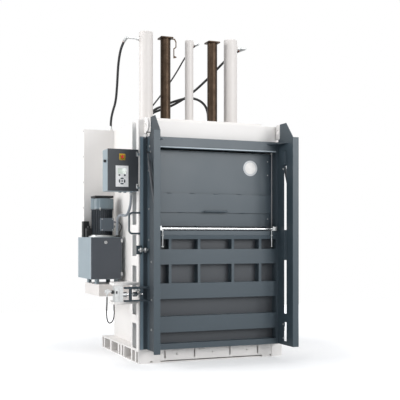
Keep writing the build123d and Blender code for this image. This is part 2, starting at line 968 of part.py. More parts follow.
# Main door: two posts with outer strips and hinge eyes, ribs and uprights on a back sheet, and a top rail.
with BuildPart() as door_posts:
    for side in (-1, 1):
        with BuildSketch(Plane.XY.offset(door_bottom)):
            with BuildLine():
                Polyline(
                    (side * door_inner_x, door_front_y),
                    (side * door_half_width, door_front_y),
                    (side * door_half_width, strip_sheet_y),
                    (side * strip_inner_x, strip_sheet_y),
                    (side * strip_inner_x, strip_front_y),
                    (side * strip_outer_x, strip_front_y),
                    (side * strip_outer_x, door_rear_y),
                    (side * door_inner_x, door_rear_y),
                    close=True,
                )
            make_face()
        extrude(amount=door_top - door_bottom)
    for level in hinge_levels:
        eye = (level + loose, level + knuckle_height)
        block((strip_outer_x, hinge_x), (hinge_y - hinge_leaf / 2, hinge_y + hinge_leaf / 2), eye)
        rod((hinge_x, hinge_y, eye[0]), (hinge_x, hinge_y, eye[1]), knuckle_radius)
        rod(
            (hinge_x, hinge_y, eye[0]),
            (hinge_x, hinge_y, eye[1]),
            hinge_pin_radius + running,
            Mode.SUBTRACT,
        )
finish(door_posts, "door_posts")

with BuildPart() as door_panel:
    for low, high in rib_spans:
        with BuildSketch(Plane.YZ.offset(-door_inner_x)):
            with Locations(((door_front_y + strip_sheet_y) / 2, (low + high) / 2)):
                Rectangle(strip_sheet_y - door_front_y, high - low)
            with Locations(((door_front_y + strip_sheet_y + rib_skin) / 2, (low + high) / 2)):
                Rectangle(
                    strip_sheet_y - door_front_y - rib_skin,
                    high - low - 2 * rib_skin,
                    mode=Mode.SUBTRACT,
                )
        extrude(amount=2 * door_inner_x)
    with BuildSketch(Plane.YZ.offset(-door_inner_x)):
        with BuildLine():
            Polyline(
                (strip_sheet_y, band_bottom),
                (door_front_y, band_bottom),
                (door_front_y - band_lip, band_bottom + band_lip_rise),
                (door_front_y, band_bottom + band_step_rise),
                (door_front_y, band_top),
                (strip_sheet_y, band_top),
                close=True,
            )
        make_face()
    extrude(amount=2 * door_inner_x)
    upright_spans = ((rib_spans[2][1], rib_spans[3][0]), (rib_spans[3][1], band_bottom))
    for side in (-1, 1):
        for x in mullion_x:
            for span in upright_spans:
                block(
                    (side * x - mullion_width / 2, side * x + mullion_width / 2),
                    (door_front_y, strip_sheet_y),
                    span,
                )
    block((-door_inner_x, door_inner_x), (strip_sheet_y, door_rear_y), (door_bottom, band_top))
finish(door_panel, "door_panel")

with BuildPart() as top_rail:
    with BuildSketch(Plane.YZ.offset(-door_inner_x)):
        with BuildLine():
            Polyline(
                (door_front_y - rail_lip, rail_bottom),
                (door_rear_y, rail_bottom),
                (door_rear_y, door_top),
                (door_front_y, door_top),
                (door_front_y, rail_bottom + rail_lip),
            )
            RadiusArc(
                (door_front_y, rail_bottom + rail_lip),
                (door_front_y - rail_lip, rail_bottom),
                rail_lip,
            )
        make_face()
    extrude(amount=2 * door_inner_x)
    for side in (-1, 1):
        inner = side * (guard_x - guard_thickness / 2)
        plate(
            Plane.XY.offset(gusset_z),
            [
                (inner - side * gusset_width, door_front_y),
                (inner, door_front_y - gusset_depth),
                (inner, door_front_y),
            ],
            gusset_thickness,
        )
finish(top_rail, "top_rail")

# Side guard: a tall plate with a peaked head, a guide slot and a flange folded outwards along its front.
with BuildPart() as guard_left:
    guard_outer = -guard_x - guard_thickness / 2
    with BuildSketch(Plane.YZ.offset(guard_outer)):
        with BuildLine():
            Polyline(
                (door_front_y, guard_bottom),
                (door_front_y, guard_head_z),
                (guard_head_y, guard_head_z),
                (guard_head_y, guard_peak_z),
                (guard_peak_y, guard_peak_z),
                (guard_front_y, guard_flange_top),
                (guard_front_y, guard_bottom),
                close=True,
            )
        make_face()
        for low, high in guard_slot_spans:
            with Locations((guard_slot_y, (low + high) / 2)):
                Rectangle(guard_slot_width, high - low, mode=Mode.SUBTRACT)
    extrude(amount=guard_thickness)
    block(
        (guard_outer - guard_flange, guard_outer),
        (guard_front_y, guard_front_y + guard_thickness),
        (guard_bottom, guard_flange_top),
    )
    for low, high in guard_box_spans:
        block(
            (guard_outer + guard_thickness, guard_outer + guard_thickness + guard_box_width),
            (guard_slot_y - guard_box_depth / 2, guard_slot_y + guard_box_depth / 2),
            (low, high),
        )
finish(guard_left, "guard_left")
mirrored(guard_left, "guard_right")

# Handle on the free edge of the door.
with BuildPart() as door_handle:
    handle_y = (strip_front_y + door_rear_y) / 2
    with BuildLine() as grip_line:
        FilletPolyline(
            (-strip_outer_x, handle_y, handle_high_z),
            (-strip_outer_x - handle_reach, handle_y, handle_high_z),
            (-strip_outer_x - handle_reach, handle_y, handle_low_z),
            (-strip_outer_x, handle_y, handle_low_z),
            radius=handle_bend,
        )
    with BuildSketch(Plane(origin=grip_line.line @ 0, z_dir=grip_line.line % 0)):
        Circle(handle_radius)
    sweep()
finish(door_handle, "door_handle")

# Stop on the door's free edge: an angle bracket with a bolt and three nuts through its front leg.
with BuildPart() as door_stop:
    stop_z = band_bottom - stop_drop
    leg_x = (-strip_outer_x + stop_leg_inset, -strip_outer_x + stop_leg_inset + stop_plate)
    base_y = (strip_front_y - stop_plate, strip_front_y)
    bolt_line_y = base_y[0] - stop_leg_depth / 2
    block((leg_x[0] - stop_reach, leg_x[1]), base_y, (stop_z - stop_height / 2, stop_z + stop_height / 2))
    leg_y = (base_y[0] - stop_leg_depth, base_y[0])
    block(leg_x, leg_y, (stop_z - stop_height / 4, stop_z + stop_height / 4))
    bolt_start = leg_x[0] - 2.5 * stop_nut_length
    rod((bolt_start, bolt_line_y, stop_z), (-door_half_width, bolt_line_y, stop_z), stop_bolt_radius)
    for nut_x in (leg_x[0] - stop_nut_length, leg_x[1], -door_half_width - stop_nut_length):
        with BuildSketch(Plane(origin=(nut_x, bolt_line_y, stop_z), z_dir=(1, 0, 0))):
            RegularPolygon(stop_nut_radius, 6)
        extrude(amount=stop_nut_length)
finish(door_stop, "door_stop")

# Lock arms on the door, with the notched keeper bar between their ends.
with BuildPart() as lock_arms:
    for low, high in arm_levels:
        block((arm_end_x, -door_half_width), (arm_front_y, arm_rear_y), (low, high))
    arm_ends = lock_arms.edges().filter_by(Axis.Z).group_by(Axis.X)[0]
    fillet(arm_ends, (arm_rear_y - arm_front_y) / 3)
    block(
        (-door_half_width - arm_plate, -door_half_width),
        (arm_front_y, arm_rear_y),
        (arm_levels[0][0], arm_levels[1][1]),
    )
    rod(
        (keeper_x, keeper_y, arm_levels[0][1]),
        (keeper_x, keeper_y, arm_levels[1][0]),
        keeper_radius,
    )
    block(
        (keeper_x - keeper_radius, keeper_x + keeper_radius),
        (bolt_y - bolt_radius - keeper_slot_clear, arm_rear_y),
        (bolt_z - bolt_radius - keeper_slot_clear, bolt_z + bolt_radius + keeper_slot_clear),
        mode=Mode.SUBTRACT,
    )
finish(lock_arms, "lock_arms")

# Gas springs beside the guards: a tube, a rod, and at each end an eye on a pin from the guard.
with BuildPart() as gas_springs:
    for side in (-1, 1):
        top = Vector(side * spring_x, *spring_top)
        foot = Vector(side * spring_x, *spring_foot)
        shoulder = top + (foot - top).normalized() * spring_rod_length
        rod(top, shoulder, spring_rod_radius)
        rod(shoulder, foot, spring_tube_radius)
        for end in (top, foot):
            wall = (side * (guard_x + guard_thickness / 2), end.Y, end.Z)
            rod(wall, (side * spring_pin_end, end.Y, end.Z), spring_pin_radius)
            eye_x = sorted((side * (spring_x - spring_eye_half), side * (spring_x + spring_eye_half)))
            rod((eye_x[0], end.Y, end.Z), (eye_x[1], end.Y, end.Z), spring_eye_radius)
finish(gas_springs, "gas_springs")

# Chains above the springs, drawn tight between the upper spring pin and a pin near the guard's head.
with BuildPart() as support_chains:
    pitch = chain_link_length - 2 * chain_wire + chain_bite
    inner_half = chain_link_length / 2 - chain_wire
    first_link_z = spring_top[1] - spring_pin_radius - chain_bite + inner_half
    for side in (-1, 1):
        for i in range(chain_links):
            origin = (side * chain_x, spring_top[0], first_link_z + i * pitch)
            facing = (1, 0, 0) if i % 2 == 0 else (0, 1, 0)
            with BuildSketch(Plane(origin=origin, x_dir=(0, 0, 1), z_dir=facing).offset(-chain_wire / 2)):
                SlotOverall(chain_link_length, chain_link_width)
                SlotOverall(
                    chain_link_length - 2 * chain_wire,
                    chain_link_width - 2 * chain_wire,
                    mode=Mode.SUBTRACT,
                )
            extrude(amount=chain_wire)
        pin_z = first_link_z + (chain_links - 1) * pitch + inner_half - spring_pin_radius + chain_bite
        wall = (side * (guard_x + guard_thickness / 2), spring_top[0], pin_z)
        rod(wall, (side * spring_pin_end, spring_top[0], pin_z), spring_pin_radius)
finish(support_chains, "support_chains")

# Flap shaft bearings on the band, each with a pull rod and two cross pins below.
with BuildPart() as shaft_bearings:
    for side in (-1, 1):
        ends = sorted((side * bearing_inner_x, side * door_inner_x))
        block(ends, bearing_y, (band_top, band_top + bearing_height))
        rod((ends[0], shaft_y, shaft_z), (ends[1], shaft_y, shaft_z), shaft_radius + running, Mode.SUBTRACT)
        hanger_x = side * pull_rod_x
        block(
            sorted((hanger_x - side * pull_rod_pin, side * bearing_inner_x)),
            (pull_rod_y - pull_rod_pin, pull_rod_y + pull_rod_pin),
            (band_top, band_top + pull_rod_pin),
        )
        rod((hanger_x, pull_rod_y, pull_rod_bottom), (hanger_x, pull_rod_y, band_top), pull_rod_radius)
        for rise in cross_pin_rises:
            rod(
                (hanger_x - cross_pin_half, pull_rod_y, pull_rod_bottom + rise),
                (hanger_x + cross_pin_half, pull_rod_y, pull_rod_bottom + rise),
                cross_pin_radius,
            )
finish(shaft_bearings, "shaft_bearings")

# Loading flap: a folded panel with a raised band and a bar, carried by four arms on a polished shaft.
with BuildPart() as flap_panel:
    panel_y = (flap_front_y, flap_front_y + flap_sheet)
    block((-flap_half_width, flap_half_width), panel_y, (flap_bottom, flap_top))
    for low, high in ((flap_bottom, flap_bottom + flap_sheet), (flap_top - flap_sheet, flap_top)):
        block((-flap_half_width, flap_half_width), (flap_front_y - flap_flange, flap_front_y), (low, high))
    for side in (-1, 1):
        edge = sorted((side * (flap_half_width - flap_sheet), side * flap_half_width))
        block(edge, (flap_front_y - flap_flange, flap_front_y), (flap_bottom, flap_top))
    block(
        (-flap_half_width + flap_sheet, flap_half_width - flap_sheet),
        (flap_front_y - flap_band_depth, flap_front_y),
        (flap_band_bottom, flap_band_bottom + flap_band_height),
    )
    bar_y = flap_front_y - flap_band_depth - flap_bar_reach
    bar_ends = (flap_bar_x - flap_bar_length / 2, flap_bar_x + flap_bar_length / 2)
    rod((bar_ends[0], bar_y, flap_bar_z), (bar_ends[1], bar_y, flap_bar_z), flap_bar_radius)
    for x in (bar_ends[0] + 2 * flap_bar_radius, bar_ends[1] - 2 * flap_bar_radius):
        rod((x, bar_y, flap_bar_z), (x, flap_front_y - flap_band_depth, flap_bar_z), flap_bar_post_radius)
finish(flap_panel, "flap_panel")

with BuildPart() as flap_arms:
    for side in (-1, 1):
        for x in flap_arm_places:
            middle = side * x
            plate(
                Plane.YZ.offset(middle - flap_arm_thickness / 2),
                [
                    (shaft_y - flap_boss_radius, shaft_z),
                    (shaft_y, shaft_z - flap_boss_radius),
                    (flap_front_y - flap_flange, flap_bottom - flap_sheet),
                    (flap_front_y - flap_flange, flap_bottom),
                    (flap_front_y, flap_bottom + flap_sheet),
                    (flap_front_y, flap_bottom + flap_arm_rise),
                    (flap_front_y - flap_flange, flap_bottom + flap_arm_rise),
                    (shaft_y, shaft_z + flap_boss_radius),
                ],
                flap_arm_thickness,
            )
            block(
                (middle - flap_arm_thickness, middle + flap_arm_thickness),
                (flap_front_y - flap_flange, flap_front_y),
                (flap_bottom, flap_bottom + flap_sheet),
                mode=Mode.SUBTRACT,
            )
            rod(
                (middle - flap_arm_thickness, shaft_y, shaft_z),
                (middle + flap_arm_thickness, shaft_y, shaft_z),
                flap_boss_radius,
            )
            rod(
                (middle - flap_arm_thickness, shaft_y, shaft_z),
                (middle + flap_arm_thickness, shaft_y, shaft_z),
                shaft_radius,
                Mode.SUBTRACT,
            )
finish(flap_arms, "flap_arms")

with BuildPart() as flap_shaft:
    rod((-flap_half_width, shaft_y, shaft_z), (flap_half_width, shaft_y, shaft_z), shaft_radius)
finish(flap_shaft, "flap_shaft")

# Door lock on the frame: two lugs, the cylinder block between them and its hose banjo.
with BuildPart() as lock_lugs:
    for low, high in (
        (lock_lug_z[0], lock_lug_z[0] + lock_lug_thickness),
        (lock_lug_z[1], lock_lug_z[1] + lock_lug_thickness),
    ):
        plate(
            Plane.XY.offset(low),
            [
                (-base_half_width, lug_plate_y[1]),
                (-base_half_width, lug_plate_y[0]),
                (lock_body_x[1], lock_body_y[0] - lug_plate_lip),
                (lock_body_x[0] - lug_plate_edge, lock_body_y[0] - lug_plate_lip),
                (lock_body_x[0] - lug_plate_edge, lock_body_y[1]),
                (lock_body_x[0] + lug_plate_notch, lug_plate_y[1]),
            ],
            high - low,
        )
finish(lock_lugs, "lock_lugs")

with BuildPart() as lock_body:
    block(lock_body_x, lock_body_y, (lock_lug_z[0] + lock_lug_thickness, lock_lug_z[1]))
    boss_end = lock_body_x[1] + lock_boss_length
    rod((lock_body_x[1], bolt_y, bolt_z), (boss_end, bolt_y, bolt_z), lock_boss_radius)
    rod((bolt_rear_x, bolt_y, bolt_z), (boss_end, bolt_y, bolt_z), bolt_radius + running, Mode.SUBTRACT)
    rod((lock_body_x[0], bolt_y, banjo_z), (banjo_x, bolt_y, banjo_z), bolt_radius)
    rod(
        (banjo_x, bolt_y - banjo_length / 2, banjo_z),
        (banjo_x, bolt_y + banjo_length / 2, banjo_z),
        banjo_radius,
    )
    rod(
        (banjo_x, bolt_y, banjo_z),
        (banjo_x, bolt_y, banjo_z - banjo_radius - banjo_stub),
        lock_hose_diameter / 2 + ferrule_wall,
    )
finish(lock_body, "lock_body")

with BuildPart() as lock_bolt:
    rod((bolt_rear_x + bolt_clear, bolt_y, bolt_z), (bolt_tip_x, bolt_y, bolt_z), bolt_radius)
    with BuildSketch(Plane(origin=(keeper_x + bolt_nut[0], bolt_y, bolt_z), z_dir=(1, 0, 0))):
        RegularPolygon(bolt_nut_radius, 6)
    extrude(amount=bolt_nut[1] - bolt_nut[0])
finish(lock_bolt, "lock_bolt")

# Control box: an open-fronted shell on the left post with three cable glands under it.
with BuildPart() as control_box:
    box_x = (box_left_x + box_inset, box_right_x)
    block(box_x, (box_front_y + box_gap, box_rear_y), (box_bottom, box_top))
    block(
        (box_x[0] + box_skin, box_x[1] - box_skin),
        (box_front_y + box_gap, box_rear_y - box_skin),
        (box_bottom + box_skin, box_top - box_skin),
        mode=Mode.SUBTRACT,
    )
    rod(
        (box_x[0] - box_skin, latch_y, latch_z),
        (box_x[0] + 2 * box_skin, latch_y, latch_z),
        spindle_radius + running,
        Mode.SUBTRACT,
    )
    for x, y, length in box_glands:
        rod((x, y, box_bottom - length), (x, y, box_bottom), box_gland_radius)
    for level in box_hinge_levels:
        arm = (level - box_hinge_height / 2, level)
        block((box_hinge_x, box_hinge_lug_x), (box_hinge_y - box_door_gap, base_front_y), arm)
        block(
            (box_hinge_x - box_hinge_radius, box_right_x),
            (box_hinge_y + box_hinge_relief[0], base_front_y + box_hinge_relief[1]),
            arm,
            mode=Mode.SUBTRACT,
        )
        rod((box_hinge_x, box_hinge_y, arm[0]), (box_hinge_x, box_hinge_y, arm[1]), box_hinge_radius)
        pin_top = level + box_hinge_height / 2
        rod((box_hinge_x, box_hinge_y, level), (box_hinge_x, box_hinge_y, pin_top), box_pin_radius)
finish(control_box, "control_box")

with BuildPart() as control_door:
    door_x = (box_left_x, box_right_x - box_door_gap)
    block(door_x, (base_front_y, box_front_y), (box_bottom, box_top))
    block(
        (door_x[0] + box_skin, door_x[1] - box_skin),
        (base_front_y + box_skin, box_front_y),
        (box_bottom + box_skin, box_top - box_skin),
        mode=Mode.SUBTRACT,
    )
    block(
        (switch_x - switch_width / 2, switch_x + switch_width / 2),
        (base_front_y - switch_plate, base_front_y),
        (switch_z - switch_height / 2, switch_z + switch_height / 2),
    )
    rod(
        (switch_x, base_front_y - switch_plate, switch_z),
        (switch_x, base_front_y + box_skin, switch_z),
        spindle_radius + running,
        Mode.SUBTRACT,
    )
    for level in box_hinge_levels:
        eye = (level + loose, level + box_hinge_height / 2)
        block((box_hinge_x - box_hinge_radius, box_hinge_x), (box_hinge_y, base_front_y), eye)
        rod((box_hinge_x, box_hinge_y, eye[0]), (box_hinge_x, box_hinge_y, eye[1]), box_hinge_radius)
        rod(
            (box_hinge_x, box_hinge_y, eye[0]),
            (box_hinge_x, box_hinge_y, eye[1]),
            box_pin_radius + running,
            Mode.SUBTRACT,
        )
finish(control_door, "control_door")

with BuildPart() as switch_knob:
    knob_back = base_front_y - switch_plate - loose
    rod((switch_x, knob_back, switch_z), (switch_x, knob_back - knob_depth, switch_z), knob_radius)
    rod(
        (switch_x, knob_back, switch_z),
        (switch_x, base_front_y + 2 * box_skin, switch_z),
        spindle_radius,
    )
    block(
        (switch_x - knob_grip_half, switch_x + knob_grip_half),
        (knob_back - knob_depth - knob_grip, knob_back - knob_depth),
        (switch_z - knob_radius + knob_grip_inset, switch_z + knob_radius - knob_grip_inset),
    )
finish(switch_knob, "switch_knob")

with BuildPart() as box_latch:
    latch_base = box_left_x + box_inset - loose
    rod((latch_base, latch_y, latch_z), (latch_base - latch_length, latch_y, latch_z), latch_radius)
    rod(
        (latch_base, latch_y, latch_z),
        (latch_base + 4 * box_skin, latch_y, latch_z),
        spindle_radius,
    )
    block(
        (latch_base + 2 * box_skin, latch_base + 3 * box_skin),
        (latch_y - latch_cam, latch_y + spindle_radius),
        (latch_z - spindle_radius, latch_z + spindle_radius),
    )
finish(box_latch, "box_latch")

# Keypad: a panel with a display recess and a pocket for each of its seven keys.
round_keys = {
    "key_round_left": (-round_key_x, round_key_rise, round_key_radius),
    "key_round_right": (round_key_x, round_key_rise, round_key_radius),
    "key_centre": (0, 0, centre_key_radius),
}
arc_keys = {"key_right": 0, "key_up": 90, "key_left": 180, "key_down": 270}


def keypad_plane(y):
    """Plane facing the front at depth y, centred on the ring of keys."""
    return Plane(origin=(panel_x, y, pad_z), x_dir=(1, 0, 0), z_dir=(0, -1, 0))


def round_outline(key, growth):
    """Outline of a round key, grown all round."""
    x, z, radius = round_keys[key]
    with Locations((x, z)):
        Circle(radius + growth)


def arc_outline(key, growth):
    """Outline of a ring-segment key, grown all round."""
    inner = arc_key_inner - growth
    outer = arc_key_outer + growth
    half = arc_key_half_angle + math.degrees(growth / arc_key_inner)
    start = arc_keys[key] - half
    with BuildLine() as ring:
        inside = CenterArc((0, 0), inner, start, 2 * half)
        outside = CenterArc((0, 0), outer, start, 2 * half)
        Line(inside @ 0, outside @ 0)
        Line(inside @ 1, outside @ 1)
    make_face(ring.edges())


with BuildPart() as key_panel:
    block(
        (panel_x - panel_width / 2, panel_x + panel_width / 2),
        (base_front_y - panel_thickness, base_front_y),
        (panel_low_z, panel_high_z),
    )
    block(
        (panel_x - display_width / 2, panel_x + display_width / 2),
        (base_front_y - panel_thickness, base_front_y - panel_thickness + display_depth),
        (display_low_z, display_high_z),
        mode=Mode.SUBTRACT,
    )
    with BuildSketch(keypad_plane(base_front_y - panel_thickness)):
        for key in round_keys:
            round_outline(key, key_gap)
    extrude(amount=-key_pocket, mode=Mode.SUBTRACT)
    for key in arc_keys:
        with BuildSketch(keypad_plane(base_front_y - panel_thickness)):
            arc_outline(key, key_gap)
        extrude(amount=-key_pocket, mode=Mode.SUBTRACT)
finish(key_panel, "key_panel")

key_face_y = base_front_y - panel_thickness - key_proud
for key in round_keys:
    with BuildPart() as round_key:
        with BuildSketch(keypad_plane(key_face_y)):
            round_outline(key, 0)
        extrude(amount=-key_thickness)
    finish(round_key, key)

for key in arc_keys:
    with BuildPart() as arc_key:
        with BuildSketch(keypad_plane(key_face_y)):
            arc_outline(key, 0)
        extrude(amount=-key_thickness)
    finish(arc_key, key)

# Power pack shelf, bolted to the side wall.
with BuildPart() as support_shelf:
    block(shelf_x, shelf_y, shelf_z)
    block(
        (shelf_x[0] + shelf_wall, shelf_x[1] - shelf_wall),
        (shelf_y[0] + shelf_wall, shelf_y[1]),
        (shelf_z[0] + shelf_wall, shelf_z[1] - shelf_wall),
        mode=Mode.SUBTRACT,
    )
    rod(
        (*lock_gland, shelf_z[0] - gland_reach),
        (*lock_gland, shelf_z[0]),
        gland_radius,
    )
finish(support_shelf, "support_shelf")

# Oil tank on four feet, with a service space behind its door and a valve block on its top.
with BuildPart() as oil_tank:
    for x in tank_foot_x:
        for y in tank_foot_y:
            rod((x, y, shelf_z[1]), (x, y, tank_z[0]), tank_foot_radius)
    block(tank_x, tank_y, tank_z)
    block(
        (tank_x[0] + tank_wall, tank_x[1] - tank_wall),
        (tank_y[0], tank_y[0] + tank_service_depth),
        (tank_z[0] + tank_wall, tank_z[1] - tank_wall),
        mode=Mode.SUBTRACT,
    )
    block(valve_x, valve_y, (tank_z[1], valve_top))
    rod((*conduit_foot, tank_z[1]), (*conduit_foot, tank_z[1] + gland_reach), conduit_gland_radius)
    cable_gland_top = tank_z[1] + cable_gland_reach
    rod((*tank_cable, tank_z[1]), (*tank_cable, cable_gland_top), gland_radius)
    for level in tank_hinge_levels:
        low = (level - tank_hinge_height / 2, level)
        block((tank_x[1], tank_hinge_x), (tank_hinge_y, tank_y[0] + tank_hinge_leaf), low)
        rod((tank_hinge_x, tank_hinge_y, low[0]), (tank_hinge_x, tank_hinge_y, low[1]), tank_hinge_radius)
        rod(
            (tank_hinge_x, tank_hinge_y, level),
            (tank_hinge_x, tank_hinge_y, level + tank_hinge_height / 2),
            box_pin_radius,
        )
finish(oil_tank, "oil_tank")

with BuildPart() as tank_door:
    leaf_x = (tank_x[0], tank_x[1] - tank_door_gap)
    leaf_y = (tank_y[0] - loose - tank_door_thickness, tank_y[0] - loose)
    block(leaf_x, leaf_y, (tank_z[0] + tank_wall, tank_z[1] - tank_wall))
    rod(
        (tank_lock_x, leaf_y[0], tank_lock_z),
        (tank_lock_x, leaf_y[1], tank_lock_z),
        spindle_radius + running,
        Mode.SUBTRACT,
    )
    for level in tank_hinge_levels:
        high = (level + loose, level + tank_hinge_height / 2)
        block((leaf_x[1], tank_hinge_x), leaf_y, high)
        rod((tank_hinge_x, tank_hinge_y, high[0]), (tank_hinge_x, tank_hinge_y, high[1]), tank_hinge_radius)
        rod(
            (tank_hinge_x, tank_hinge_y, high[0]),
            (tank_hinge_x, tank_hinge_y, high[1]),
            box_pin_radius + running,
            Mode.SUBTRACT,
        )
finish(tank_door, "tank_door")

with BuildPart() as tank_lock:
    lock_back = tank_y[0] - 2 * loose - tank_door_thickness
    lock_face = lock_back - tank_lock_proud
    spindle_end = tank_y[0] + 4 * tank_wall
    rod((tank_lock_x, lock_back, tank_lock_z), (tank_lock_x, lock_face, tank_lock_z), tank_lock_radius)
    rod((tank_lock_x, lock_back, tank_lock_z), (tank_lock_x, spindle_end, tank_lock_z), spindle_radius)
    block(
        (tank_lock_x - spindle_radius, tank_lock_x + spindle_radius),
        (tank_y[0] + 2 * tank_wall, tank_y[0] + 3 * tank_wall),
        (tank_lock_z - spindle_radius, tank_z[1] - 2 * tank_wall),
    )
finish(tank_lock, "tank_lock")

# Motor standing on the tank: flange, finned body, terminal pad, rim and shaft end.
with BuildPart() as motor:
    flange_top = tank_z[1] + motor_flange_thickness
    rod((motor_x, motor_y, tank_z[1]), (motor_x, motor_y, flange_top), motor_flange_radius)
    rod((motor_x, motor_y, flange_top), (motor_x, motor_y, motor_bottom), motor_foot_radius)
    rod((motor_x, motor_y, motor_bottom), (motor_x, motor_y, motor_top), motor_core_radius)
    with Locations((motor_x, motor_y, motor_bottom)):
        with PolarLocations(0, motor_fin_count):
            Box(
                motor_fin_radius,
                motor_fin_thickness,
                motor_top - motor_bottom - motor_rim_height,
                align=(Align.MIN, Align.CENTER, Align.MIN),
            )
    rod((motor_x, motor_y, motor_top - motor_rim_height), (motor_x, motor_y, motor_top), cowl_radius)
    block(
        (motor_x - terminal_pad_half, motor_x + terminal_pad_half),
        (terminal_front_y + terminal_depth, motor_y),
        (terminal_z[0] + terminal_pad_inset, terminal_z[1] - terminal_pad_inset),
    )
    rod((motor_x, motor_y, motor_top), (motor_x, motor_y, fan_bottom + fan_height), shaft_end_radius)
finish(motor, "motor")

# Fan cowl with rings of holes, and a square rain hood on four posts above it.
with BuildPart() as motor_cowl:
    rod((motor_x, motor_y, motor_top), (motor_x, motor_y, cowl_top), cowl_radius)
    rod(
        (motor_x, motor_y, motor_top),
        (motor_x, motor_y, cowl_top - cowl_skin),
        cowl_radius - cowl_skin,
        Mode.SUBTRACT,
    )
    for ring_radius, count in cowl_hole_rings:
        with Locations((motor_x, motor_y, cowl_top)):
            with PolarLocations(ring_radius, count):
                Cylinder(cowl_hole_radius, 4 * cowl_skin, mode=Mode.SUBTRACT)
    for side_x in (-1, 1):
        for side_y in (-1, 1):
            post = (motor_x + side_x * hood_post_x, motor_y + side_y * hood_post_x)
            rod((*post, cowl_top), (*post, hood_top - hood_skin), hood_post_radius)
    hood_x = (motor_x - hood_side / 2, motor_x + hood_side / 2)
    hood_y = (motor_y - hood_side / 2, motor_y + hood_side / 2)
    block(hood_x, hood_y, (hood_top - hood_skin, hood_top))
    for low, high in ((hood_x[0], hood_x[0] + hood_skin), (hood_x[1] - hood_skin, hood_x[1])):
        block((low, high), hood_y, (hood_top - hood_skirt, hood_top))
    for low, high in ((hood_y[0], hood_y[0] + hood_skin), (hood_y[1] - hood_skin, hood_y[1])):
        block(hood_x, (low, high), (hood_top - hood_skirt, hood_top))
finish(motor_cowl, "motor_cowl")

with BuildPart() as motor_fan:
    rod((motor_x, motor_y, fan_bottom), (motor_x, motor_y, fan_bottom + fan_height), fan_hub_radius)
    with Locations((motor_x, motor_y, fan_bottom)):
        with PolarLocations(0, fan_blades):
            Box(fan_radius, cowl_skin, fan_height, align=(Align.MIN, Align.CENTER, Align.MIN))
    rod(
        (motor_x, motor_y, fan_bottom),
        (motor_x, motor_y, fan_bottom + fan_height),
        shaft_end_radius + running,
        Mode.SUBTRACT,
    )
finish(motor_fan, "motor_fan")

with BuildPart() as terminal_box:
    block(terminal_x, (terminal_front_y, terminal_front_y + terminal_depth), terminal_z)
    fillet(terminal_box.edges().filter_by(Axis.Y), terminal_corner)
    for level in terminal_gland_z:
        wall = (terminal_x[1], terminal_gland_y, level)
        rod(wall, (terminal_x[1] + gland_reach, terminal_gland_y, level), gland_radius)
finish(terminal_box, "terminal_box")

# Rear cabinet: a tall open-bottomed hood behind the wall, with a hose gland on its top.
with BuildPart() as rear_cabinet:
    block(cabinet_x, cabinet_y, (cabinet_bottom, wall_height))
    block(
        (cabinet_x[0] + cabinet_skin, cabinet_x[1] - cabinet_skin),
        (cabinet_y[0] + cabinet_skin, cabinet_y[1] - cabinet_skin),
        (cabinet_bottom, wall_height - cabinet_skin),
        mode=Mode.SUBTRACT,
    )
    rod((*cabinet_top_gland, wall_height), (*cabinet_top_gland, gland_top), cabinet_gland_radius)
finish(rear_cabinet, "rear_cabinet")


def hose_start(elbow, toward):
    """The face of the ferrule that leaves an elbow toward the hose's next point, and that point."""
    length = thin_ferrule_length if elbow == centre_elbow else ferrule_length
    heading = (Vector(*toward) - Vector(*elbow)).normalized()
    return [tuple(Vector(*elbow) + heading * length), toward]


def over_roof(start_x, points):
    """A hose's points above the machine, each written as X from start_x, Y, and height over the roof."""
    return [(start_x + x, y, wall_height + rise) for x, y, rise in points]


# Hoses and cables: each runs through its points, and its first and last points lie on its fittings' faces.
left_route = over_roof(left_elbow[0], [(-22, 118, 835), (-24, 240, 670), (2, 370, 460)])
left_route += over_roof(cabinet_top_gland[0], [(4, 510, 300), (4, 630, 218)])
centre_route = over_roof(0, [(72, 95, 866), (12, 165, 765), (-70, 200, 605), (-165, 240, 450)])
centre_route += over_roof(centre_roof_gland[0], [(140, 310, 310), (70, 395, 205), (20, 452, 140)])
right_route = over_roof(right_elbow[0], [(-89, 128, 855), (-197, 160, 740)])
right_route += over_roof(0, [(290, 175, 560), (100, 205, 380), (-80, 270, 260), (-200, 350, 215)])
right_route += over_roof(right_roof_gland[0], [(56, 425, 192), (18, 480, 156)])
return_route = over_roof(0, [(268, 130, 190), (235, 133, 265), (160, 145, 320), (60, 180, 338)])
return_route += over_roof(0, [(-80, 235, 300), (-190, 300, 250)])
return_route += over_roof(return_end_gland[0], [(68, 360, 222), (20, 402, 165)])
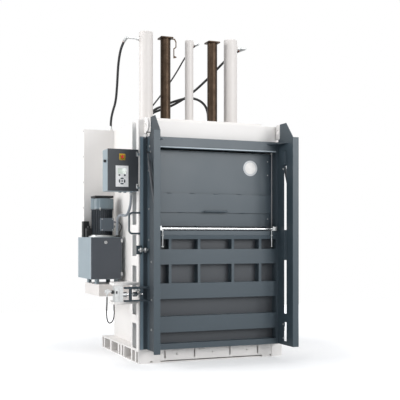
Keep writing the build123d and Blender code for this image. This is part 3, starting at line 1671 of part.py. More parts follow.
cords = {
    "hose_left": (
        press_hose,
        [
            *hose_start(left_elbow, left_route[0]),
            *left_route[1:],
            (*cabinet_top_gland, wall_height + 120),
            (*cabinet_top_gland, gland_top),
        ],
    ),
    "hose_centre": (
        thin_hose,
        [
            *hose_start(centre_elbow, centre_route[0]),
            *centre_route[1:],
            (*centre_roof_gland, wall_height + 80),
            (*centre_roof_gland, roof_gland_top),
        ],
    ),
    "hose_right": (
        press_hose,
        [
            *hose_start(right_elbow, right_route[0]),
            *right_route[1:],
            (*right_roof_gland, wall_height + 90),
            (*right_roof_gland, roof_gland_top),
        ],
    ),
    "hose_return": (
        press_hose,
        [
            (*return_start_gland, roof_gland_top),
            (*return_start_gland, wall_height + 100),
            *return_route,
            (*return_end_gland, wall_height + 92),
            (*return_end_gland, roof_gland_top),
        ],
    ),
    "control_conduit": (
        conduit_diameter,
        [
            (*box_glands[0][:2], box_bottom - box_glands[0][2]),
            (*box_glands[0][:2], box_bottom - 95),
            (box_right_x - 44, -500, box_bottom - 170),
            (box_right_x - 34, -390, box_bottom - 220),
            (box_right_x - 22, -270, box_bottom - 225),
            (box_right_x - 14, -130, box_bottom - 215),
            (box_right_x - 7, 0, tank_z[1] + 224),
            (conduit_foot[0] - 30, 115, tank_z[1] + 189),
            (conduit_foot[0] - 10, 190, tank_z[1] + 139),
            (*conduit_foot, tank_z[1] + 84),
            (*conduit_foot, tank_z[1] + gland_reach),
        ],
    ),
    "motor_cable": (
        cable_diameter,
        [
            (terminal_x[1] + gland_reach, terminal_gland_y, terminal_gland_z[1]),
            (terminal_x[1] + 54, terminal_gland_y, terminal_gland_z[1]),
            (terminal_x[1] + 80, terminal_front_y + 19, tank_z[1] + 144),
            (terminal_x[1] + 91, terminal_front_y + 9, tank_z[1] + 114),
            (terminal_x[1] + 83, terminal_front_y + 1, tank_z[1] + 87),
            (*tank_cable, tank_z[1] + 49),
            (*tank_cable, cable_gland_top),
        ],
    ),
    "lock_hose": (
        lock_hose_diameter,
        [
            (banjo_x, bolt_y, banjo_z - banjo_radius - banjo_stub),
            (banjo_x, bolt_y, shelf_z[0] - 6),
            (banjo_x + 12, -640, shelf_z[0] - 81),
            (banjo_x + 42, -540, shelf_z[0] - 166),
            (banjo_x + 92, -400, shelf_z[0] - 221),
            (banjo_x + 162, -230, shelf_z[0] - 251),
            (lock_gland[0] - 60, -80, shelf_z[0] - 241),
            (lock_gland[0] - 12, 45, shelf_z[0] - 196),
            (*lock_gland, shelf_z[0] - 101),
            (*lock_gland, shelf_z[0] - gland_reach),
        ],
    ),
}


# Unions, pipes, elbows and ferrules between the cylinder ports and the hoses.
with BuildPart() as cylinder_fittings:
    for (elbow, wall_x, hose, length), name in zip(cord_starts, ("hose_left", "hose_centre", "hose_right")):
        out = math.copysign(1, elbow[0])
        face = wall_x + out * port_boss
        with BuildSketch(Plane(origin=(face, 0, port_z), z_dir=(out, 0, 0))):
            RegularPolygon(port_radius - 2, 6)
        extrude(amount=port_nut_length)
        rod((face, 0, port_z), elbow, port_pipe_radius if hose == press_hose else port_pipe_radius - 4)
        with Locations(elbow):
            Sphere(hose / 2 + ferrule_wall)
        rod(elbow, cords[name][1][0], hose / 2 + ferrule_wall)
finish(cylinder_fittings, "cylinder_fittings")


def corner_radii(points):
    """A bend radius for each corner that takes up less than half of the shorter run beside it."""
    radii = []
    for before, corner, after in zip(points, points[1:], points[2:]):
        incoming = Vector(*corner) - Vector(*before)
        outgoing = Vector(*after) - Vector(*corner)
        half_turn = math.radians(incoming.get_angle(outgoing)) / 2
        radii.append(bend_share * min(incoming.length, outgoing.length) / math.tan(half_turn))
    return radii


for name, (diameter, points) in cords.items():
    radii = corner_radii(points)
    with BuildPart() as cord:
        with BuildLine() as route:
            FilletPolyline(*points, radius=radii)
        with BuildSketch(Plane(origin=route.line @ 0, z_dir=route.line % 0)):
            Circle(diameter / 2)
        sweep()
    run_length = sum(edge.length for edge in route.edges())
    filled = cord.part.volume / (math.pi * diameter**2 / 4 * run_length)
    print(name, "length", round(run_length), "radii", [round(radius) for radius in radii])
    print(name, "volume over section times length", round(filled, 4))
    finish(cord, name)
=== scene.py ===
# %% [markdown]
# A vertical recycling baler: a steel press that squeezes waste into bales. The rigid parts come from a CAD model. Here
# they get real finishes, hoses, welds and small fasteners, so that they look like painted machinery.

# %% Load the frame
import json
import math

import bmesh
import bpy
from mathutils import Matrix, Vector


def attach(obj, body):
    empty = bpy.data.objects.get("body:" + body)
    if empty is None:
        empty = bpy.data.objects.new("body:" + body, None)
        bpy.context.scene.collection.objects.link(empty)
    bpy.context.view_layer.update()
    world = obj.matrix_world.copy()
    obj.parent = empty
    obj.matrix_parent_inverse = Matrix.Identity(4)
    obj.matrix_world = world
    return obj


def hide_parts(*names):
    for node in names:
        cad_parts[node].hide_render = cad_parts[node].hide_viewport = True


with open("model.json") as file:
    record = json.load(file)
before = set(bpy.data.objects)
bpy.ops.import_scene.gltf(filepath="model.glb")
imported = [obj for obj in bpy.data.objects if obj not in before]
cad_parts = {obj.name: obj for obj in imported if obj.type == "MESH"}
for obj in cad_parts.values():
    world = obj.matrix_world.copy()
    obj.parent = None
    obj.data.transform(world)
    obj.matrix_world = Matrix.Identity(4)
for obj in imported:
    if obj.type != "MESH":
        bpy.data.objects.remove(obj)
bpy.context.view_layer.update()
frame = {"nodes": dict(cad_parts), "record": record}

# %% [markdown]
# Colours are written as hex values, as a paint chart gives them, and turned to the linear values that the renderer
# adds up. A few helpers add shader nodes with their settings and links, which keeps each material short.

# %% Colour and node helpers
MM = 0.001


def colour(code):
    """The linear RGBA of an sRGB hex code."""
    parts = [int(code[i : i + 2], 16) / 255 for i in (0, 2, 4)]
    return (*[p / 12.92 if p <= 0.04045 else ((p + 0.055) / 1.055) ** 2.4 for p in parts], 1.0)


def add_node(tree, kind, inputs=None, **settings):
    """Adds a node, sets its properties, and fills its inputs with values or links from other sockets."""
    made = tree.nodes.new(kind)
    for name, value in settings.items():
        setattr(made, name, value)
    for name, value in (inputs or {}).items():
        if isinstance(value, bpy.types.NodeSocket):
            tree.links.new(value, made.inputs[name])
        else:
            made.inputs[name].default_value = value
    return made


def remap(tree, value, low, high, start=0.0, stop=1.0):
    """Stretches a value that runs from start to stop, so that it runs from low to high."""
    limits = {"From Min": start, "From Max": stop, "To Min": low, "To Max": high}
    return add_node(tree, "ShaderNodeMapRange", {"Value": value, **limits}).outputs["Result"]


def blend(tree, amount, first, second):
    """Mixes two colours by an amount that another node gives."""
    mixed = add_node(tree, "ShaderNodeMix", data_type="RGBA")
    tree.links.new(amount, mixed.inputs[0])
    mixed.inputs[6].default_value = first
    mixed.inputs[7].default_value = second
    return mixed.outputs[2]


def scaled(base, factor, lift=0.0):
    """A colour made darker or lighter by a factor, and lifted a little."""
    return tuple(min(1, c * factor + lift) for c in base[:3]) + (1.0,)


def new_material(name):
    """An empty material and its node tree."""
    material = bpy.data.materials.new(name)
    material.use_nodes = True
    material.node_tree.nodes.clear()
    return material, material.node_tree


print("helpers ready")

# %% [markdown]
# The camera stands where the picture was taken from: level, about 1.2 m up, and to the left of the machine. A long
# lens keeps the posts nearly parallel. The upward shift brings the tall cylinders in without tilting the camera.

# %% Camera
camera_data = bpy.data.cameras.new("camera")
camera_data.lens = 72.18
camera_data.sensor_width = 36
camera_data.shift_y = 0.0968
camera = bpy.data.objects.new("camera", camera_data)
camera.location = (-3.06985, -7.9885, 1.2)
camera.rotation_euler = (math.radians(90), 0, math.radians(-21.8))
bpy.context.scene.collection.objects.link(camera)
bpy.context.scene.camera = camera
print("camera at", tuple(round(c, 2) for c in camera.location))

# %% [markdown]
# The light is a plain studio: large soft lamps in front, on both sides and above, over an even, dim world. The camera
# and the reflections see that world as white. The floor glows for the camera alone, weakly near the machine, where
# its shadow has to show, and strongly further out, where it runs into the white background. Each lamp has its place
# in metres, its power in watts and its width in metres.

# %% Light and floor
scene = bpy.context.scene
scene.view_settings.view_transform = "Standard"
world = bpy.data.worlds.new("studio")
world.use_nodes = True
scene.world = world
sky = world.node_tree
sky.nodes.clear()
ray = add_node(sky, "ShaderNodeLightPath")
seen = add_node(
    sky,
    "ShaderNodeMath",
    {0: ray.outputs["Is Camera Ray"], 1: ray.outputs["Is Glossy Ray"]},
    operation="MAXIMUM",
)
dim_sky = add_node(sky, "ShaderNodeBackground", {"Color": colour("E8ECF2"), "Strength": 0.43})
white_sky = add_node(sky, "ShaderNodeBackground", {"Color": (1, 1, 1, 1), "Strength": 1.0})
mixed_sky = add_node(sky, "ShaderNodeMixShader", {0: seen.outputs[0], 1: dim_sky.outputs[0], 2: white_sky.outputs[0]})
add_node(sky, "ShaderNodeOutputWorld", {"Surface": mixed_sky.outputs[0]})

aim = Vector((0, 0, 1.3))
lamps = (
    ("front_lamp", (3.0, -8.0, 3.8), 325, 3.5),
    ("left_lamp", (-7.5, 0.5, 3.5), 350, 4.0),
    ("key_lamp", (-4.5, -6.5, 6.5), 90, 3.5),
    ("right_lamp", (6.5, -2.5, 4.0), 30, 3.5),
    ("top_lamp", (0.5, 0.5, 7.5), 140, 4.0),
)
for lamp_name, place, power, size in lamps:
    lamp_data = bpy.data.lights.new(lamp_name, "AREA")
    lamp_data.energy = power
    lamp_data.size = size
    lamp = bpy.data.objects.new(lamp_name, lamp_data)
    lamp.location = place
    lamp.rotation_euler = (aim - Vector(place)).to_track_quat("-Z", "Y").to_euler()
    scene.collection.objects.link(lamp)

floor_mesh = bpy.data.meshes.new("floor")
floor_mesh.from_pydata([(-9, -10, 0), (9, -10, 0), (9, 5, 0), (-9, 5, 0)], [], [(0, 1, 2, 3)])
floor = bpy.data.objects.new("floor", floor_mesh)
scene.collection.objects.link(floor)
floor_material, tree = new_material("pale studio floor")
ray = add_node(tree, "ShaderNodeLightPath")
matt = add_node(tree, "ShaderNodeBsdfDiffuse", {"Color": colour("F4F4F4")})
spot = add_node(tree, "ShaderNodeTexCoord").outputs["Object"]
reach = add_node(tree, "ShaderNodeVectorMath", {0: spot}, operation="LENGTH")
near, far = 1.6, 4.0
near_glow, far_glow = 0.22, 0.8
strength = remap(tree, reach.outputs["Value"], near_glow, far_glow, near, far)
glow = add_node(tree, "ShaderNodeEmission", {"Color": (1, 1, 1, 1), "Strength": strength})
camera_glow = add_node(tree, "ShaderNodeMixShader", {0: ray.outputs["Is Camera Ray"], 2: glow.outputs[0]})
lit = add_node(tree, "ShaderNodeAddShader", {0: matt.outputs[0], 1: camera_glow.outputs[0]})
add_node(tree, "ShaderNodeOutputMaterial", {"Surface": lit.outputs[0]})
floor_mesh.materials.append(floor_material)
print("lamps", len(lamps))

# %% [markdown]
# Most of the machine is powder coated sheet steel. The powder is baked on, which leaves a faint orange peel and a
# satin sheen. Large soft patches of slightly darker tone stand for dust and handling. The grain is drawn a few
# millimetres wide, coarser than the real one, so that it still shows at this distance.


# %% Powder coated steel
def powder_coat(name, code, roughness=0.42, grain=6 * MM, bump=0.25, dust=0.08):
    """Powder coated steel: one colour, a soft dusty variation and an orange peel."""
    material, tree = new_material(name)
    place = add_node(tree, "ShaderNodeTexCoord").outputs["Object"]
    patches = add_node(tree, "ShaderNodeTexNoise", {"Vector": place, "Scale": 2.2, "Detail": 5.0, "Roughness": 0.6})
    dusty = remap(tree, patches.outputs["Fac"], 0.0, dust, start=0.35, stop=0.7)
    tone = blend(tree, dusty, colour(code), scaled(colour(code), 0.72, lift=0.02))
    peel = add_node(tree, "ShaderNodeTexNoise", {"Vector": place, "Scale": 1 / grain, "Detail": 1.0})
    relief = add_node(tree, "ShaderNodeBump", {"Height": peel.outputs["Fac"], "Strength": bump, "Distance": 0.4 * MM})
    shine = remap(tree, patches.outputs["Fac"], roughness - 0.08, roughness + 0.1)
    shader = add_node(
        tree,
        "ShaderNodeBsdfPrincipled",
        {"Base Color": tone, "Roughness": shine, "Normal": relief.outputs["Normal"]},
    )
    add_node(tree, "ShaderNodeOutputMaterial", {"Surface": shader.outputs[0]})
    return material


white_coat = powder_coat("powder coated steel, warm white", "ECE9E6", roughness=0.45)
cylinder_coat = powder_coat("sprayed enamel on steel, warm white", "DDD8D4", roughness=0.4)
door_coat = powder_coat("powder coated steel, blue grey", "404C54", roughness=0.4)
guard_coat = powder_coat("powder coated steel, deep blue grey", "3C4951", roughness=0.4)
box_coat = powder_coat("textured powder coat, light blue grey", "8D9AA1", roughness=0.5, grain=5 * MM, bump=0.4)
dark_coat = powder_coat("textured powder coat, charcoal", "35393E", roughness=0.55, grain=5 * MM, bump=0.5)
# painted light: the control door's charcoal made lighter on the tank door, where shadow falls on it
tank_painted_light_coat = powder_coat("textured powder coat, charcoal lightened as painted light", "4B5057", roughness=0.55, grain=5 * MM, bump=0.5)
motor_coat = powder_coat("sprayed enamel on cast iron, blue grey", "373E45", roughness=0.4, grain=9 * MM, bump=0.7)
cowl_coat = powder_coat("sprayed enamel on pressed steel, blue grey", "6B7980", roughness=0.35)
terminal_coat = powder_coat("powder coated aluminium, mid grey", "545D65", roughness=0.5)
print("coats", len(bpy.data.materials))

# %% [markdown]
# Bare metals need almost no colour of their own: what they reflect makes them. Ground rods are nearly mirrors, zinc
# plate is duller and mottled, the chains are dark, and the ram tubes carry a brown film of oil and dust.


# %% Bare and plated metals
def metal(name, code, roughness, mottle, scale, dark=0.6):
    """A metal with a mottled tone and roughness."""
    material, tree = new_material(name)
    place = add_node(tree, "ShaderNodeTexCoord").outputs["Object"]
    clouds = add_node(tree, "ShaderNodeTexNoise", {"Vector": place, "Scale": 1 / scale, "Detail": 4.0})
    amount = remap(tree, clouds.outputs["Fac"], 0.0, mottle, start=0.4, stop=0.75)
    tone = blend(tree, amount, colour(code), scaled(colour(code), dark))
    rough = remap(tree, clouds.outputs["Fac"], roughness * 0.8, roughness * 1.25)
    shader = add_node(tree, "ShaderNodeBsdfPrincipled", {"Base Color": tone, "Roughness": rough, "Metallic": 1.0})
    add_node(tree, "ShaderNodeOutputMaterial", {"Surface": shader.outputs[0]})
    return material


zinc = metal("zinc plated steel", "C4C6C6", 0.38, 0.5, 12 * MM)
ground_steel = metal("ground and polished steel rod", "D9DBDC", 0.16, 0.3, 40 * MM)
chain_steel = metal("oiled steel chain, dark", "33373B", 0.5, 0.5, 30 * MM, dark=0.7)
oiled_steel = metal("oiled steel tube, brown film", "463A30", 0.42, 0.7, 60 * MM, dark=0.45)
print("metals", [steel.name for steel in (zinc, ground_steel, chain_steel, oiled_steel)])

# %% [markdown]
# Rubber, plastics and the small display are dielectrics: a body colour under a weak clear reflection. Moulded parts
# have a fine spark eroded grain, hose rubber shines a little less, and the display lies under a clear coat.


# %% Rubber and plastics
def moulded(name, code, roughness, grain=1.5 * MM, bump=0.3, coat=0.0):
    """Moulded plastic or rubber with a fine grain."""
    material, tree = new_material(name)
    place = add_node(tree, "ShaderNodeTexCoord").outputs["Object"]
    noise = add_node(tree, "ShaderNodeTexNoise", {"Vector": place, "Scale": 1 / grain, "Detail": 2.0})
    clouds = add_node(tree, "ShaderNodeTexNoise", {"Vector": place, "Scale": 25.0, "Detail": 3.0})
    tone = blend(tree, clouds.outputs["Fac"], scaled(colour(code), 0.85), scaled(colour(code), 1.15))
    relief = add_node(tree, "ShaderNodeBump", {"Height": noise.outputs["Fac"], "Strength": bump, "Distance": 0.2 * MM})
    rough = remap(tree, clouds.outputs["Fac"], roughness - 0.05, roughness + 0.08)
    shader = add_node(
        tree,
        "ShaderNodeBsdfPrincipled",
        {"Base Color": tone, "Roughness": rough, "Normal": relief.outputs["Normal"], "Coat Weight": coat},
    )
    add_node(tree, "ShaderNodeOutputMaterial", {"Surface": shader.outputs[0]})
    return material


hose_rubber = moulded("extruded hose rubber, black", "1B1C1E", 0.5)
black_abs = moulded("moulded ABS, black", "202226", 0.45)
red_nylon = moulded("moulded nylon, red", "D22A1A", 0.4, coat=0.1)
yellow_abs = moulded("moulded ABS, yellow", "FFCB36", 0.45)
conduit_pa = moulded("corrugated polyamide, grey", "8A9096", 0.5)
key_rubber = moulded("moulded key rubber, dark blue grey", "2E3840", 0.5)
panel_pc = moulded("printed polycarbonate film, pale grey", "EDEDED", 0.4, bump=0.1)
display_glass = moulded("liquid crystal display, grey green", "D0DCD0", 0.35, bump=0.0, coat=1.0)
print("plastics", hose_rubber.name, black_abs.name)

# %% [markdown]
# Each node of the CAD model gets the finish of the real piece. The body of each node is looked up here too, because
# the pieces that stand in for nodes need it later.

# %% Finishes of the CAD nodes
node_finish = {
    white_coat: "base_ribs base_plates front_plinth post_left post_right top_beam side_walls rear_wall crosshead "
    "lock_lugs rear_cabinet",
    cylinder_coat: "press_cylinders support_shelf",
    door_coat: "door_posts door_panel top_rail door_handle lock_arms flap_panel flap_arms",
    guard_coat: "guard_left guard_right",
    box_coat: "control_box oil_tank",
    dark_coat: "control_door gas_springs",
    tank_painted_light_coat: "tank_door",
    motor_coat: "motor",
    cowl_coat: "motor_cowl",
    terminal_coat: "terminal_box",
    oiled_steel: "ram_plate guide_tubes tube_caps",
    ground_steel: "piston_rods flap_shaft lock_bolt",
    zinc: "lock_body shaft_bearings cylinder_fittings door_stop tank_lock",
    chain_steel: "support_chains",
    panel_pc: "key_panel",
    black_abs: "box_latch motor_fan",
    red_nylon: "switch_knob",
    key_rubber: "key_round_left key_round_right key_centre key_up key_down key_left key_right",
    hose_rubber: "hose_left hose_centre hose_right hose_return motor_cable lock_hose",
    conduit_pa: "control_conduit",
}
finish_of = {node: material for material, names in node_finish.items() for node in names.split()}
for node_name, node_object in frame["nodes"].items():
    node_object.data.materials.clear()
    node_object.data.materials.append(finish_of[node_name])
body_of_node = {node: body for body, nodes in frame["record"]["behaviour"]["bodies"].items() for node in nodes}
print("nodes finished", len(frame["nodes"]))

# %% [markdown]
# Some nodes need a second finish, where a test on the place of a face in mm and on its normal holds. The rain hood, the
# block on the tank and the plate of the door stop have a paint of their own. The other four are painted light and
# shade:
# painted shade on the backs of the door's recesses, on the outer side of the left guard and, pale blue grey, on the
# inner faces of the left post, and painted light along the outer edge of the left door post. Three shapes are corrected
# too.

# %% Second finishes and small corrections
MOTOR_X, MOTOR_Y = -835, 450
KNOB_X, KNOB_Z = -929, 1977
# painted shade: the door's paint made darker on the backs of its recesses
recess_painted_shade = powder_coat("powder coated steel, shaded recess", "42464B", roughness=0.5)
# painted shade: a pale blue grey for the white post's inside, seen through its windows
inside_painted_shade = powder_coat("powder coated steel, pale blue grey painted shade", "C3CED4", roughness=0.5)
black_enamel = powder_coat("sprayed enamel, black", "121315", roughness=0.6)
# painted shade: the guard coat made darker on the left guard's outer side
shade_coat = powder_coat("powder coated steel, dark side of the guard", "2E363C", roughness=0.55)
# painted light: the door's blue grey made lighter along the outer edge of the left door post
edge_painted_light = powder_coat("powder coated steel, painted light on the outer edge", "7A8C98", roughness=0.4)
paints_and_painted_light = {
    # painted light along the outer edge of the left post
    "door_posts": (edge_painted_light, lambda place, normal: place.x < -724 and place.y < -667),
    # painted shade on the outer side
    "guard_left": (shade_coat, lambda place, normal: normal.x < -0.9 and place.x < -687),
    # painted shade on the backs of the recesses
    "door_panel": (recess_painted_shade, lambda place, normal: normal.y < -0.9 and place.y > -662),
    # the rain hood
    "motor_cowl": (black_enamel, lambda place, normal: place.z > 1634),
    # all but the bolt
    "door_stop": (guard_coat, lambda place, normal: place.z > 1106 or place.z < 1080 or place.y > -677),
    # painted shade, pale blue grey, on the inner faces
    "post_left": (inside_painted_shade, lambda place, normal: normal.x < -0.9 and place.x > -760 and place.z < 2000),
    # the block on the lid
    "oil_tank": (black_enamel, lambda place, normal: place.z > 1217),
}


def narrow_hood(work):
    """Draws the rain hood and its posts in towards the motor's axis."""
    hood_foot, post_foot, post_reach, share = 1632, 1630, 60, 0.84
    for vert in work.verts:
        x, y, z = vert.co / MM
        right, back = x - MOTOR_X, y - MOTOR_Y
        in_post = z > post_foot and abs(right) > post_reach and abs(back) > post_reach
        if z > hood_foot or in_post:
            vert.co.x, vert.co.y = (MOTOR_X + right * share) * MM, (MOTOR_Y + back * share) * MM


def shift_left_rod(work):
    """Moves the left pull rod inwards, clear of the guard's flange."""
    left_limit, right_limit, shift = -613, -583, 36
    for vert in work.verts:
        if left_limit * MM < vert.co.x < right_limit * MM:
            vert.co.x += shift * MM


def slim_knob(work):
    """Draws the switch knob in to the narrow handle of a rotary main switch."""
    width_share, height_share = 0.6, 0.8
    for vert in work.verts:
        vert.co.x = (KNOB_X + (vert.co.x / MM - KNOB_X) * width_share) * MM
        vert.co.z = (KNOB_Z + (vert.co.z / MM - KNOB_Z) * height_share) * MM


reshaped = {"switch_knob": slim_knob, "motor_cowl": narrow_hood, "shaft_bearings": shift_left_rod}
print("second finishes", len(paints_and_painted_light), "corrected shapes", len(reshaped))

# %% [markdown]
# A sharp edge looks cut from paper, while real sheet edges are a little round and catch the light. So a merged copy
# with small rounded edges, whose radii are in mm, stands in for each of the nodes that show most.


# %% Rounded copies
SHARP = math.radians(35)


def round_edges(work, radius):
    """Rounds the sharp edges of a mesh in the making."""
    bmesh.ops.bevel(
        work,
        geom=[e for e in work.edges if e.is_manifold and e.calc_face_angle(0) > SHARP],
        offset=radius,
        segments=2,
        profile=0.5,
        affect="EDGES",
        clamp_overlap=True,
    )


def shade_smooth(mesh):
    """Shades a mesh smooth, apart from the edges that are still sharp."""
    for face in mesh.polygons:
        face.use_smooth = True
    mesh.set_sharp_from_angle(angle=SHARP)


def evaluated_mesh(piece):
    """The mesh of an object with its modifiers applied."""
    return bpy.data.meshes.new_from_object(piece.evaluated_get(bpy.context.evaluated_depsgraph_get()))


def rounded_copy(node_name, radius):
    """A merged copy of a CAD node with rounded edges, riding where the node rides and standing in for it."""
    mesh = frame["nodes"][node_name].data.copy()
    work = bmesh.new()
    work.from_mesh(mesh)
    bmesh.ops.remove_doubles(work, verts=work.verts, dist=1e-5)
    bmesh.ops.dissolve_limit(work, angle_limit=math.radians(1), verts=work.verts, edges=work.edges)
    if node_name in reshaped:
        reshaped[node_name](work)
    round_edges(work, radius)
    bmesh.ops.triangulate(work, faces=[f for f in work.faces if len(f.verts) > 4])
    work.to_mesh(mesh)
    work.free()
    shade_smooth(mesh)
    if node_name in paints_and_painted_light:
        material, test = paints_and_painted_light[node_name]
        mesh.materials.append(material)
        for face in mesh.polygons:
            face.material_index = int(test(face.center / MM, face.normal))
    piece = bpy.data.objects.new(node_name + "_edged", mesh)
    scene.collection.objects.link(piece)
    even = piece.modifiers.new("even normals", "WEIGHTED_NORMAL")
    even.keep_sharp = True
    even.weight = 100
    piece.data = evaluated_mesh(piece)
    piece.modifiers.clear()
    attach(piece, body_of_node[node_name])
    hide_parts(node_name)


edge_radius = {
    "post_left": 3.0,
    "post_right": 3.0,
    "top_beam": 3.0,
    "door_posts": 2.5,
    "door_panel": 3.0,
    "top_rail": 3.0,
    "guard_left": 2.2,
    "guard_right": 2.2,
    "flap_panel": 1.8,
    "door_stop": 0.8,
    "switch_knob": 0.8,
    "shaft_bearings": 0.8,
    "control_box": 1.0,
    "control_door": 1.0,
    "oil_tank": 1.5,
    "lock_body": 1.5,
    "lock_lugs": 4.0,
    "terminal_box": 2.0,
    "motor_cowl": 1.0,
}
for node_name, radius in edge_radius.items():
    rounded_copy(node_name, radius * MM)
print("rounded", len(edge_radius), "pieces")

# %% [markdown]
# Hydraulic hose is stiff for its size, so it leaves each fitting straight and then hangs in one smooth curve. Each
# hose is a smooth spline through the same route as its CAD tube, with a round section, held at both ends. Its facts
# are the diameter and the length in mm, the material and how stiff it is.


# %% Hoses and cables
MAIN_HOSE = 26


def cord_piece(node_name, diameter, points, material):
    """A hose or cable as a smooth spline with a round section, standing for its CAD tube."""
    curve = bpy.data.curves.new(node_name + "_line", "CURVE")
    curve.dimensions = "3D"
    spline = curve.splines.new("NURBS")
    spline.points.add(len(points) - 1)
    for point, place in zip(spline.points, points):
        point.co = (*[c * MM for c in place], 1.0)
    spline.order_u = 3
    spline.use_endpoint_u = True
    spline.resolution_u = 10
    curve.bevel_depth = diameter / 2 * MM
    curve.bevel_resolution = 5
    curve.use_fill_caps = True
    curve.materials.append(material)
    piece = bpy.data.objects.new(node_name + "_line", curve)
    scene.collection.objects.link(piece)
    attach(piece, "frame")
    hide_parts(node_name)
    return piece


routes = {
    "hose_left": [(-694.76, 25.55, 3272.61), (-712, 118, 3235), (-714, 240, 3070), (-688, 370, 2860),
                  (-664, 510, 2700), (-664, 630, 2618), (-668, 704, 2520), (-668, 704, 2420)],
    "hose_centre": [(98.53, 18.63, 3279.67), (72, 95, 3266), (12, 165, 3165), (-70, 200, 3005), (-165, 240, 2850),
                    (-255, 310, 2710), (-325, 395, 2605), (-375, 452, 2540), (-395, 477, 2480), (-395, 477, 2416)],
    "hose_right": [(639.27, 22.63, 3278.05), (566, 128, 3255), (458, 160, 3140), (290, 175, 2960), (100, 205, 2780),
                   (-80, 270, 2660), (-200, 350, 2615), (-262, 425, 2592), (-300, 480, 2556), (-318, 510, 2490),
                   (-318, 510, 2416)],
    "hose_return": [(275, 130, 2416), (275, 130, 2500), (268, 130, 2590), (235, 133, 2665), (160, 145, 2720),
                    (60, 180, 2738), (-80, 235, 2700), (-190, 300, 2650), (-262, 360, 2622), (-310, 402, 2565),
                    (-330, 420, 2492), (-330, 420, 2416)],
    "control_conduit": [(-821, -580, 1641), (-821, -580, 1560), (-812, -500, 1485), (-802, -390, 1435),
                        (-790, -270, 1430), (-782, -130, 1440), (-775, 0, 1440), (-758, 115, 1405),
                        (-738, 190, 1355), (-728, 226, 1300), (-728, 226, 1238)],
    "motor_cable": [(-729, 309, 1378), (-697, 309, 1378), (-671, 303, 1360), (-660, 293, 1330), (-668, 285, 1303),
                    (-698, 264, 1265), (-698, 264, 1228)],
    "lock_hose": [(-1092, -703, 674), (-1092, -703, 600), (-1080, -640, 525), (-1050, -540, 440), (-1000, -400, 385),
                  (-930, -230, 355), (-860, -80, 365), (-812, 45, 410), (-800, 100, 505), (-800, 100, 584)],
}
cord_facts = {
    "hose_left": (MAIN_HOSE, 1129, hose_rubber, "stiff"),
    "hose_centre": (16, 1145, hose_rubber, "stiff"),
    "hose_right": (MAIN_HOSE, 1489, hose_rubber, "stiff"),
    "hose_return": (MAIN_HOSE, 1077, hose_rubber, "stiff"),
    "control_conduit": (22, 1035, conduit_pa, "medium"),
    "motor_cable": (10, 212, hose_rubber, "medium"),
    "lock_hose": (13, 1136, hose_rubber, "stiff"),
}
cord_pieces = {}
for node_name, (diameter, length, material, stiffness) in cord_facts.items():
    cord_pieces[node_name] = cord_piece(node_name, diameter, routes[node_name], material)
print("hoses and cables", len(cord_pieces))

# %% [markdown]
# The smaller pieces are built from three shapes: a turned solid, which is a stack of rings round an axis, a slab, which
# is an outline with a thickness, and a closed round ring. Each piece joins a few of them in one mesh. Where its edges
# would look too sharp, they are taken off a little, as on any machined or folded part.


# %% Shapes for small pieces
RIGHT, LEFT = (1, 0, 0), (-1, 0, 0)
BACK, AHEAD = (0, 1, 0), (0, -1, 0)
UP = (0, 0, 1)


def turned(work, profile, foot, axis=UP, sides=24):
    """Adds a turned solid with closed ends: rings of (radius, height) in mm, from the foot along the axis."""
    turn = Vector(axis).to_track_quat("Z", "Y").to_matrix()
    rings = []
    for radius, height in profile:
        angles = [2 * math.pi * (k + 0.5) / sides for k in range(sides)]
        spots = [turn @ Vector((radius * math.cos(a), radius * math.sin(a), height)) for a in angles]
        rings.append([work.verts.new((Vector(foot) + spot) * MM) for spot in spots])
    for low, high in zip(rings, rings[1:]):
        for k in range(sides):
            work.faces.new((low[k], low[(k + 1) % sides], high[(k + 1) % sides], high[k]))
    work.faces.new(rings[0][::-1])
    work.faces.new(rings[-1])


def slab(work, outline, origin, across, up, depth):
    """Adds a flat plate: an anticlockwise outline in mm, thickened towards the side that it is seen from."""
    across, up = Vector(across), Vector(up)
    out = across.cross(up) * depth
    low = [work.verts.new((Vector(origin) + across * u + up * v) * MM) for u, v in outline]
    high = [work.verts.new((Vector(origin) + across * u + up * v + out) * MM) for u, v in outline]
    for k in range(len(outline)):
        after = (k + 1) % len(outline)
        work.faces.new((low[k], low[after], high[after], high[k]))
    work.faces.new(low[::-1])
    work.faces.new(high)


def torus(work, centre, axis, major, minor, around=24, across=10):
    """Adds a closed round ring in mm."""
    turn = Vector(axis).to_track_quat("Z", "Y").to_matrix()
    loops = []
    for k in range(around):
        a = 2 * math.pi * k / around
        loop = []
        for j in range(across):
            b = 2 * math.pi * j / across
            reach = major + minor * math.cos(b)
            spot = turn @ Vector((reach * math.cos(a), reach * math.sin(a), minor * math.sin(b)))
            loop.append(work.verts.new((Vector(centre) + spot) * MM))
        loops.append(loop)
    for k in range(around):
        here, there = loops[k], loops[(k + 1) % around]
        for j in range(across):
            work.faces.new((here[j], there[j], there[(j + 1) % across], here[(j + 1) % across]))


def rounded(width, height, radius, steps=5):
    """The outline of a rectangle with rounded corners, centred, anticlockwise."""
    corners = [(width, height, 0), (-width, height, 90), (-width, -height, 180), (width, -height, 270)]
    outline = []
    for right, top, start in corners:
        centre = (right / 2 - math.copysign(radius, right), top / 2 - math.copysign(radius, top))
        for k in range(steps + 1):
            angle = math.radians(start + 90 * k / steps)
            outline.append((centre[0] + radius * math.cos(angle), centre[1] + radius * math.sin(angle)))
    return outline


def keep(work, name, material, body, soften=0.0):
    """Turns the built shapes into one piece that rides on a body."""
    if soften:
        round_edges(work, soften * MM)
    mesh = bpy.data.meshes.new(name)
    work.to_mesh(mesh)
    work.free()
    shade_smooth(mesh)
    mesh.materials.append(material)
    piece = bpy.data.objects.new(name, mesh)
    scene.collection.objects.link(piece)
    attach(piece, body)
    return piece


FRONT = (RIGHT, UP)
print("shapes ready")

# %% [markdown]
# The flap carries a plain round sticker, and the control box a square plate under its main switch and a small display
# above its keys. They are thin, and their true edges catch a little light.

